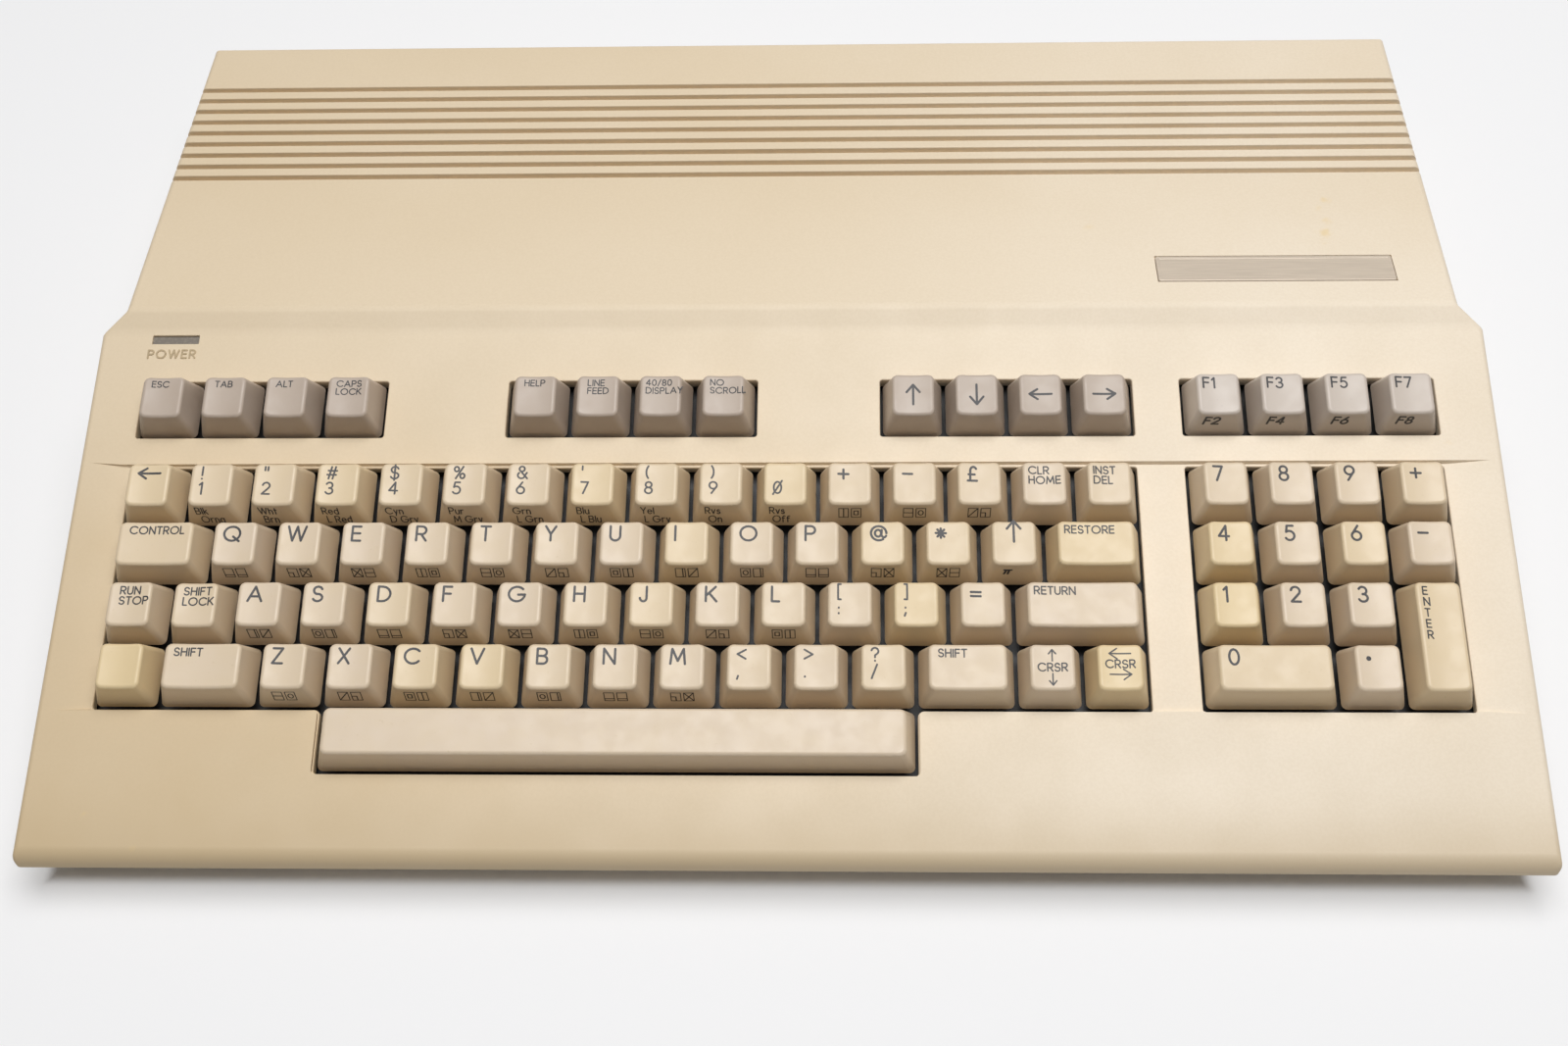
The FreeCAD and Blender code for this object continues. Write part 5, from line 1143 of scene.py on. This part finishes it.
S_STROKES = "O .3 .745 .27 .255 20 270;O .3 .25 .3 .25 90 -155"
SIGNS = {
    "A": "L 0 0 .44 1 .88 0;L .15 .33 .73 .33",
    "B": "L 0 0 0 1;L 0 1 .34 1;O .34 .76 .24 .24 90 -90;"
         "L 0 .52 .36 .52;O .36 .26 .27 .26 90 -90;L 0 0 .36 0", "C": "O .52 .5 .52 .5 42 318",
    "D": "L 0 0 0 1;L 0 1 .26 1;O .26 .5 .52 .5 90 -90;L 0 0 .26 0",
    "E": "L .54 0 0 0 0 1 .54 1;L 0 .52 .5 .52", "F": "L 0 0 0 1 .52 1;L 0 .52 .46 .52",
    "G": "O .52 .5 .52 .5 42 355;L .6 .46 1.04 .46", "H": "L 0 0 0 1;L .66 0 .66 1;L 0 .52 .66 .52",
    "I": "L 0 0 0 1", "J": "L .42 1 .42 .22;O .21 .22 .21 .22 0 -180",
    "K": "L 0 0 0 1;L .62 1 0 .38;L .2 .57 .68 0", "L": "L 0 1 0 0 .46 0",
    "M": "L 0 0 .1 1 .46 .2 .82 1 .92 0", "N": "L 0 0 0 1 .7 0 .7 1", "O": "O .52 .5 .52 .5 0 360",
    "P": "L 0 0 0 1;L 0 1 .34 1;O .34 .73 .27 .27 90 -90;L 0 .46 .34 .46",
    "Q": "O .52 .5 .52 .5 0 360;L .6 .3 1 -.03",
    "R": "L 0 0 0 1;L 0 1 .34 1;O .34 .73 .27 .27 90 -90;L 0 .46 .34 .46;L .3 .46 .62 0", "S": S_STROKES,
    "T": "L 0 1 .6 1;L .3 0 .3 1", "U": "L 0 1 0 .32;O .32 .32 .32 .32 180 360;L .64 .32 .64 1",
    "V": "L 0 1 .4 0 .8 1", "W": "L 0 1 .3 0 .58 1 .86 0 1.16 1", "X": "L 0 0 .66 1;L 0 1 .66 0",
    "Y": "L 0 1 .33 .46 .66 1;L .33 .46 .33 0", "Z": "L 0 1 .6 1 0 0 .62 0", "0": "O .3 .5 .3 .5 0 360",
    "1": "L 0 .8 .2 1 .2 0", "2": "O .28 .72 .28 .28 170 -38;L .5 .55 0 0 .58 0",
    "3": "O .27 .75 .25 .25 155 -90;O .27 .26 .29 .26 90 -155", "4": "L .46 0 .46 1 0 .28 .64 .28",
    "5": "L .52 1 .14 1 .07 .56;O .27 .32 .31 .32 130 -145", "6": "L .42 1 .05 .44;O .3 .3 .3 .3 0 360",
    "7": "L 0 1 .56 1 .18 0", "8": "O .28 .76 .24 .24 0 360;O .28 .26 .28 .26 0 360",
    "9": "O .3 .7 .3 .3 0 360;L .55 .56 .18 0", "!": "L .1 .3 .1 1;L .1 0 .1 .03",
    "\"": "L .05 .7 .05 1;L .27 .7 .27 1",
    "#": "L .12 0 .3 1;L .42 0 .6 1;L 0 .33 .66 .33;L .06 .67 .72 .67",
    "$": S_STROKES + ";L .3 -.13 .3 1.13",
    "%": "O .17 .78 .17 .2 0 360;O .63 .22 .17 .2 0 360;L .14 0 .66 1",
    "&": "O .3 .79 .2 .21 0 360;L .14 .68 .72 0;O .27 .26 .27 .26 130 360;L .54 .26 .68 .48",
    "'": "L .05 .7 .05 1", "(": "O .45 .5 .4 .64 128 232", ")": "O -.1 .5 .4 .64 -52 52",
    "+": "L 0 .5 .66 .5;L .33 .17 .33 .83", "-": "L 0 .5 .6 .5",
    "£": "L 0 0 .6 0;L .06 .45 .46 .45;L .16 0 .18 .72;O .38 .72 .2 .28 180 30",
    "@": "O .5 .5 .5 .5 0 305;O .46 .5 .2 .24 0 360;L .7 .74 .68 .4;O .84 .42 .16 .2 180 330",
    "*": "L .06 .25 .5 .75;L .06 .75 .5 .25;L .28 .17 .28 .83;L -.05 .5 .61 .5",
    "=": "L 0 .36 .62 .36;L 0 .64 .62 .64", ":": "L .05 .06 .05 .1;L .05 .52 .05 .56",
    ";": "L .07 .52 .07 .56;L .09 .12 0 -.14", "[": "L .2 1.1 0 1.1 0 -.1 .2 -.1",
    "]": "L 0 1.1 .2 1.1 .2 -.1 0 -.1", "<": "L .6 .85 0 .5 .6 .15", ">": "L 0 .85 .6 .5 0 .15",
    ",": "L .08 .1 0 -.16", ".": "L .05 .03 .05 .07",
    "?": "O .25 .75 .25 .25 170 -55;L .39 .54 .25 .42 .25 .27;L .25 0 .25 .03", "/": "L 0 -.08 .42 1.05",
    "↑": "L .3 0 .3 1;L 0 .62 .3 1 .6 .62", "↓": "L .3 1 .3 0;L 0 .38 .3 0 .6 .38",
    "←": "L 0 .5 1.1 .5;L .4 .78 0 .5 .4 .22", "→": "L 0 .5 1.1 .5;L .7 .78 1.1 .5 .7 .22",
    "•": "O .16 .5 .07 .07 0 360", "π": "L 0 .62 .66 .62;L .2 .62 .12 0;L .46 .62 .46 0",
    "d": "O .27 .34 .27 .34 0 360;L .54 0 .54 1", "e": "O .28 .34 .28 .34 0 320;L 0 .36 .56 .36",
    "f": "O .3 .76 .2 .22 60 180;L .1 .76 .1 0;L 0 .64 .32 .64",
    "g": "O .27 .34 .27 .34 0 360;L .54 .68 .54 -.08;O .27 -.08 .27 .2 0 -150",
    "h": "L 0 0 0 1;O .24 .42 .24 .26 180 0;L .48 .42 .48 0",
    "k": "L 0 0 0 1;L .42 .68 0 .3;L .16 .42 .46 0", "l": "L 0 0 0 1",
    "n": "L 0 0 0 .68;O .24 .42 .24 .26 180 0;L .48 .42 .48 0", "r": "L 0 0 0 .68;O .3 .38 .3 .3 180 80",
    "s": "O .2 .5 .17 .17 30 250;O .2 .18 .19 .18 80 -160", "t": "L .16 0 .16 .95;L 0 .68 .36 .68",
    "u": "L 0 .68 0 .26;O .24 .26 .24 .26 180 360;L .48 .68 .48 0", "v": "L 0 .68 .24 0 .48 .68",
    "y": "L 0 .68 .24 .02;L .48 .68 .14 -.28",
}
ARROWS = "↑↓←→"
SPACE_WIDTH = 0.4
SIGN_GAP = 0.27
ARC_PIECE = 18

# Two small square pictures stand on the front of most letter keys: these fill their frames in turn

PICTURE_FRAME = "L 0 0 1 0 1 1 0 1 0 0"
PICTURE_FILLS = (
    "L .5 0 .5 1", "L 0 .5 1 .5", "L 0 0 1 1", "L .28 .28 .72 .28 .72 .72 .28 .72 .28 .28", "L .75 0 .75 1",
    "O .5 .5 .26 .26 0 360", "L 0 .25 1 .25", "L 0 .5 .5 .5 .5 0", "L 0 1 1 0;L 0 0 1 1",
)


def sign_strokes(rows):
    """Each stroke as a run of points: straight ones have two, arcs have many."""
    runs = []
    for row in rows.split(";"):
        kind, *words = row.split()
        values = [float(word) for word in words]
        if kind == "L":
            spots = list(zip(values[::2], values[1::2]))
            runs += [[spots[i], spots[i + 1]] for i in range(len(spots) - 1)]
        else:
            x, y, wide, high, start, end = values
            count = max(2, round(abs(end - start) / ARC_PIECE))
            angles = [math.radians(start + (end - start) * i / count) for i in range(count + 1)]
            runs.append([(x + wide * math.cos(a), y + high * math.sin(a)) for a in angles])
    return runs


def word_strokes(word, height, x, y, slant=0.0, gap=SIGN_GAP):
    """The strokes of a word whose lower left corner is at x, y."""
    runs = []
    for letter in word:
        if letter == GAP_MARK:
            x += SPACE_WIDTH * height
            continue
        strokes = sign_strokes(SIGNS[letter])
        for run in strokes:
            runs.append([(x + (a + b * slant) * height, y + b * height) for a, b in run])
        x += (max(a for run in strokes for a, b in run) + gap) * height
    return runs


def word_width(word, height):
    runs = word_strokes(word, height, 0, 0)
    return max(point[0] for run in runs for point in run)


END_ANGLES = (20, 50, 80)
STEP_LONG = 1 * MM


def add_stroke(shape, surface, run, half, lift, sink):
    """A thin closed ribbon with round ends that follows a surface."""
    spots = [Vector(spot) for spot in run]
    places = []
    for i in range(len(spots) - 1):
        count = max(1, math.ceil((spots[i + 1] - spots[i]).length / STEP_LONG))
        places += [spots[i].lerp(spots[i + 1], k / count) for k in range(count)]
    places.append(spots[-1])
    first = (places[1] - places[0]).normalized()
    last = (places[-1] - places[-2]).normalized()
    rows = [(places[0] - first * half * math.cos(math.radians(a)), first, half * math.sin(math.radians(a)))
            for a in END_ANGLES]
    for i, place in enumerate(places):
        along = (places[min(i + 1, len(places) - 1)] - places[max(i - 1, 0)]).normalized()
        rows.append((place, along, half))
    rows += [(places[-1] + last * half * math.cos(math.radians(a)), last, half * math.sin(math.radians(a)))
             for a in reversed(END_ANGLES)]
    rings = []
    for place, along, reach in rows:
        side = Vector((-along.y, along.x)) * reach
        left, right = place + side, place - side
        rings.append([surface(left.x, left.y, lift), surface(right.x, right.y, lift),
                      surface(right.x, right.y, -sink), surface(left.x, left.y, -sink)])
    shape.loft(rings)


PRINT_LIFT = 0.05 * MM
PRINT_SINK = 0.12 * MM
LAYER, LAYER_COUNT = 0.003 * MM, 12
LETTER_HALF = 0.35 * MM
PAIR_HALF = 0.28 * MM
STRIP_HALF = 0.17 * MM
WORD_HALF = 0.21 * MM
PICTURE_HALF = 0.13 * MM
FILL_HALF = 0.17 * MM
TOP_LEFT = 2.5 * MM
TOP_DOWN = 1.15 * MM
SIGN_DOWN = 0.75 * MM
PAIR_DOWN = 5.9 * MM
WORD_LEFT = {"CONTROL": 2.9, "RUN": 2.9, "SHIFT": 2.4, "ESC": 2.4, "TAB": 2.8, "ALT": 2.6, "CAPS": 2.2,
             "HELP": 2.6, "LINE": 2.8, "40/80": 1.5, "NO": 1.9, "CLR": 1.4, "INST": 1.4}
WORD_INSET = 1.6
LINE_PITCH = 1.38
PICTURE_SIZE = 2.8 * MM
PICTURE_TALL = 4.5 * MM
PICTURE_GAP = 0.9 * MM
PICTURE_DOWN = 4.6 * MM
FRONT_HEIGHT = 3.2 * MM
FRONT_HALF = 0.33 * MM
FRONT_DOWN = 5.2 * MM
COLOUR_HEIGHT = 2.1 * MM
COLOUR_HALF = 0.17 * MM
COLOUR_TALL = 1.5
COLOUR_DOWN = 4.9 * MM
COLOUR_PITCH = 4.3 * MM
COLOUR_LEFT = 4.6 * MM
FRONT_LEFT = 2.2 * MM
FRONT_SLANT = 0.2
ARROW_LONG = 6.6 * MM
ARROW_WIDE_SHARE = 1.1
ARROW_DOWN = 2.8 * MM
CURSOR_TALL, CURSOR_LONG, CURSOR_ROW = 3.4 * MM, 5.5 * MM, 2.4 * MM
CURSOR_GAP = 0.75 * MM
STACK_PITCH = 1.45
FUNCTION_SHARE = 0.9
DOT_SHARE = 1.15
ZERO_SLASH = ((-0.05, -0.1), (0.65, 1.1))


def add_runs(shape, surface, runs, half, lift=PRINT_LIFT, sink=PRINT_SINK):
    """Draw strokes, each a hair higher than the last so that crossing faces don't lie in one plane."""
    for number, run in enumerate(runs):
        add_stroke(shape, surface, run, half, lift + LAYER * (number % LAYER_COUNT), sink)


def print_top(shape, key):
    keys = key_sizes()
    left, text = keys.side + TOP_LEFT, key.top_print
    lines = text.split("|")
    if text == BLANK:
        return
    if len(lines) > 1 or len(text) > 2 or text in ("F1", "F3", "F5", "F7"):
        print_lines(shape, key, lines)
    elif len(text) == 2:
        upper, lower = text
        add_runs(shape, key.on_top, word_strokes(upper, keys.sign, left, -SIGN_DOWN - keys.sign), PAIR_HALF)
        add_runs(shape, key.on_top, word_strokes(lower, keys.pair, left, -PAIR_DOWN - keys.pair), PAIR_HALF)
    elif text in ARROWS:
        print_arrow(shape, key, text)
    elif key.node == "digit_keys_six_to_zero":
        low, high = -PAIR_DOWN - keys.pair, keys.pair
        slash = [(left + a * high, low + b * high) for a, b in ZERO_SLASH]
        add_runs(shape, key.on_top, word_strokes(text, high, left, low) + [slash], PAIR_HALF)
    else:
        high = keys.letter * (DOT_SHARE if text == "•" else 1)
        add_runs(shape, key.on_top, word_strokes(text, high, left, -TOP_DOWN - high), LETTER_HALF)


def print_arrow(shape, key, text):
    """A single arrow, in the middle of the upper keys and nearer the rear of the others."""
    keys = key_sizes()
    high = ARROW_LONG if text in "↑↓" else ARROW_LONG / ARROW_WIDE_SHARE
    middle = key.wide / 2 - word_width(text, high) / 2
    down = (key.long - keys.front - keys.back) / 2 if key.node == "arrow_keys" else ARROW_DOWN
    add_runs(shape, key.on_top, word_strokes(text, high, middle, -down - high / 2), LETTER_HALF)


def print_lines(shape, key, lines):
    """Small words at the upper left, or letters one below the other, or arrows with a word between."""
    keys = key_sizes()
    is_stack, is_cursor = len(lines) > 3, lines[0] in ARROWS
    is_strip = key.node in GREY_NODES
    height, half = (keys.strip_word, STRIP_HALF) if is_strip else (keys.word, WORD_HALF)
    if key.node == "function_keys":
        height, half = keys.pair * FUNCTION_SHARE, PAIR_HALF
    x, y = keys.side + WORD_LEFT.get(lines[0], WORD_INSET) * MM, -TOP_DOWN
    for line in lines:
        if line in ARROWS:
            high, line_high = (CURSOR_TALL, CURSOR_TALL) if line in "↑↓" else (CURSOR_LONG, CURSOR_ROW)
            middle = key.wide / 2 - word_width(line, high) / 2
            low = y - line_high / 2 - high / 2
            add_runs(shape, key.on_top, word_strokes(line, high, middle, low), WORD_HALF)
            y -= line_high + CURSOR_GAP
            continue
        start = key.wide / 2 - word_width(line, height) / 2 if is_cursor else x
        add_runs(shape, key.on_top, word_strokes(line, height, start, y - height), half)
        pitch = STACK_PITCH if is_stack else LINE_PITCH
        y -= height + CURSOR_GAP if is_cursor else height * pitch


def print_front(shape, key, number):
    text = key.front_print
    if text == BLANK:
        return
    if text == PICTURES:
        for side in (0, 1):
            x = key.wide / 2 + (PICTURE_GAP / 2 if side else -PICTURE_GAP / 2 - PICTURE_SIZE)
            fill = PICTURE_FILLS[(number * (1 + side) + 3 * side) % len(PICTURE_FILLS)]
            for strokes, half in ((PICTURE_FRAME, PICTURE_HALF), (fill, FILL_HALF)):
                runs = [[(x + a * PICTURE_SIZE, -PICTURE_DOWN + (b - 0.5) * PICTURE_TALL) for a, b in run]
                        for run in sign_strokes(strokes)]
                add_runs(shape, key.on_front, runs, half)
        return
    lines = text.split("|")
    if len(lines) == 1:
        x = key.wide / 2 - word_width(text, FRONT_HEIGHT) / 2 - FRONT_LEFT
        runs = word_strokes(text, FRONT_HEIGHT, x, -FRONT_DOWN, FRONT_SLANT)
        add_runs(shape, key.on_front, runs, FRONT_HALF)
        return
    y = -COLOUR_DOWN
    for line in lines:
        runs = [[(a, b * COLOUR_TALL + y) for a, b in run]
                for run in word_strokes(line, COLOUR_HEIGHT, key.wide / 2 - COLOUR_LEFT, 0)]
        add_runs(shape, key.on_front, runs, COLOUR_HALF)
        y -= COLOUR_PITCH


class COMPUTER_OT_key_print(bpy.types.Operator):
    """Draw the plain signs and words on the key caps"""
    bl_idname = "computer.key_print"
    bl_label = "Key print"

    def execute(self, context):
        material = ink()
        shapes = {}
        for number, key in enumerate(all_keys()):
            shape = shapes.setdefault(key.node, Shape())
            print_top(shape, key)
            print_front(shape, key, number)
        for node, shape in shapes.items():
            if shape.points:
                finish_piece(shape.build(node + "_print"), node, material, None)
        return {"FINISHED"}


# Badge, lens and moulded word

class COMPUTER_OT_badge(bpy.types.Operator):
    """Model the blank satin plate in its recess, with a rounded rim and a shallow panel line"""
    bl_idname = "computer.badge"
    bl_label = "Badge"

    def execute(self, context):
        low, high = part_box("name_badge")
        face = rear_top()
        margin, depth, corner, least_corner = 0.1 * MM, 0.85 * MM, 0.8 * MM, 0.25 * MM
        start = (low.y - face.start.y) / face.up.y + margin
        end = (high.y - face.start.y) / face.up.y - margin
        thick, rim, panel, sink, panel_edge = 0.2 * MM, 0.35 * MM, 1.1 * MM, 0.12 * MM, 0.3 * MM
        rings = []
        for inset, level in ((0, -depth), (0, thick - rim), (rim * 0.3, thick - rim * 0.3), (rim, thick),
                             (panel, thick), (panel + sink, thick - sink),
                             (panel + panel_edge, thick - sink)):
            outline = rounded_rectangle(low.x + inset, start + inset, high.x - inset, end - inset,
                                        max(corner - inset, least_corner))
            rings.append([face.at(x, y, level) for x, y in outline])
        shape = Shape()
        shape.loft(rings)
        thing = shape.build("blank_badge")
        smooth(thing, SOFT_SHARP_ANGLE)
        finish_piece(thing, "case", satin_plate(), "badge_plate", ("name_badge",))
        return {"FINISHED"}


POWER_LEFT, POWER_UP, POWER_HEIGHT, POWER_GAP = -0.4 * MM, 114.2 * MM, 2.7 * MM, 0.38
POWER_HALF, POWER_LIFT, POWER_SINK = 0.26 * MM, 0.22 * MM, 0.1 * MM


class COMPUTER_OT_lamp(bpy.types.Operator):
    """Finish the smoked strip and its lamp, and mould the plain word below them"""
    bl_idname = "computer.lamp"
    bl_label = "Power lamp"

    def execute(self, context):
        dress(smoked_lens(), "power_lens")
        dress(plain_finish("lamp_body", (0.3, 0.02, 0.02), (0.4, 0.04, 0.03), 2, 0.3), "power_led")
        face = deck()
        shape = Shape()

        def surface(x, y, lift):
            return face.at(POWER_LEFT + x, POWER_UP + y, lift)

        runs = word_strokes("POWER", POWER_HEIGHT, 0, 0, gap=POWER_GAP)
        add_runs(shape, surface, runs, POWER_HALF, POWER_LIFT, POWER_SINK)
        finish_piece(shape.build("power_word"), "case", moulded_word(), "case_plastic")
        return {"FINISHED"}


# Pieces whose CAD shape is kept

class COMPUTER_OT_lower_case(bpy.types.Operator):
    """Finish the lower case, its feet and its screws"""
    bl_idname = "computer.lower_case"
    bl_label = "Lower case"

    def execute(self, context):
        tint = colours()
        light, dark = shade(tint.case, 0.9), shade(tint.case, 0.8)
        dress(plain_finish("lower_plastic", light, dark, 60, 0.58, depth=0.05), "lower_case")
        dress(plain_finish("foot_rubber", (0.025, 0.025, 0.024), (0.05, 0.048, 0.045), 3, 0.85, depth=0.08),
              "rubber_feet")
        dress(plain_finish("plated_screws", (0.48, 0.45, 0.39), (0.6, 0.58, 0.52), 3, 0.35, 1.0, 0.005),
              "case_screws", "small_screws")
        return {"FINISHED"}


class COMPUTER_OT_keyboard_inside(bpy.types.Operator):
    """Finish the keyboard's frame, board, springs, wire and cable"""
    bl_idname = "computer.keyboard_inside"
    bl_label = "Keyboard inside"

    def execute(self, context):
        dress(plain_finish("dark_frame", (0.012, 0.012, 0.013), (0.03, 0.028, 0.027), 4, 0.5),
              "keyboard_frame")
        dress(plain_finish("spring_wire", (0.5, 0.5, 0.48), (0.66, 0.65, 0.62), 1, 0.28, 1.0),
              "key_springs", "space_bar_wire")
        dress(circuit_board(), "keyboard_board")
        dress(ribbed_cable(), "keyboard_cable")
        return {"FINISHED"}


class COMPUTER_OT_boards(bpy.types.Operator):
    """Finish the main board, its chips and the metal shield"""
    bl_idname = "computer.boards"
    bl_label = "Main board"

    def execute(self, context):
        dress(bpy.data.materials["circuit_board"], "main_board")
        dress(plain_finish("chip_plastic", (0.018, 0.018, 0.02), (0.035, 0.034, 0.036), 2, 0.45),
              "main_chips", "memory_chips")
        dress(plain_finish("tinned_sheet", (0.54, 0.54, 0.52), (0.67, 0.67, 0.65), 14, 0.32, 1.0, 0.01),
              "rf_shield", "aerial_modulator")
        return {"FINISHED"}


class COMPUTER_OT_sockets(bpy.types.Operator):
    """Finish the sockets in the back and right walls and the pieces that move there"""
    bl_idname = "computer.sockets"
    bl_label = "Sockets and switches"

    def execute(self, context):
        dress(plain_finish("black_plastic", (0.014, 0.014, 0.015), (0.034, 0.033, 0.033), 3, 0.42),
              "cartridge_socket", "round_sockets", "power_socket", "power_switch_housing", "reset_housing",
              "power_rocker", "reset_button", "channel_slider")
        dress(plain_finish("plated_shell", (0.6, 0.58, 0.53), (0.68, 0.66, 0.61), 9, 0.3, 1.0, 0.004),
              "monitor_socket", "controller_sockets")
        return {"FINISHED"}


# Panel, registration and order of work

STEPS = (COMPUTER_OT_stage, COMPUTER_OT_upper_case, COMPUTER_OT_key_caps, COMPUTER_OT_key_print,
         COMPUTER_OT_badge, COMPUTER_OT_lamp, COMPUTER_OT_lower_case, COMPUTER_OT_keyboard_inside,
         COMPUTER_OT_boards, COMPUTER_OT_sockets)


class COMPUTER_PT_panel(bpy.types.Panel):
    """Sizes, colours and the steps that build the computer"""
    bl_idname = "COMPUTER_PT_panel"
    bl_label = "Home Computer"
    bl_space_type = "VIEW_3D"
    bl_region_type = "UI"
    bl_category = "Home Computer"

    def draw(self, context):
        for step in STEPS:
            self.layout.operator(step.bl_idname)
        scene = context.scene
        for group in (scene.computer_case, scene.computer_keys, scene.computer_colours):
            box = self.layout.box()
            for name in group.bl_rna.properties.keys():
                if name not in ("rna_type", "name"):
                    box.prop(group, name)


CLASSES = (CaseSizes, KeySizes, FinishColours) + STEPS + (COMPUTER_PT_panel,)


def register():
    for kind in CLASSES:
        bpy.utils.register_class(kind)
    bpy.types.Scene.computer_case = PointerProperty(type=CaseSizes)
    bpy.types.Scene.computer_keys = PointerProperty(type=KeySizes)
    bpy.types.Scene.computer_colours = PointerProperty(type=FinishColours)


def unregister():
    del bpy.types.Scene.computer_case
    del bpy.types.Scene.computer_keys
    del bpy.types.Scene.computer_colours
    for kind in reversed(CLASSES):
        bpy.utils.unregister_class(kind)


def main():
    register()
    for step in STEPS:
        group, action = step.bl_idname.split(".")
        getattr(getattr(bpy.ops, group), action)()


if __name__ == "__main__":
    main()
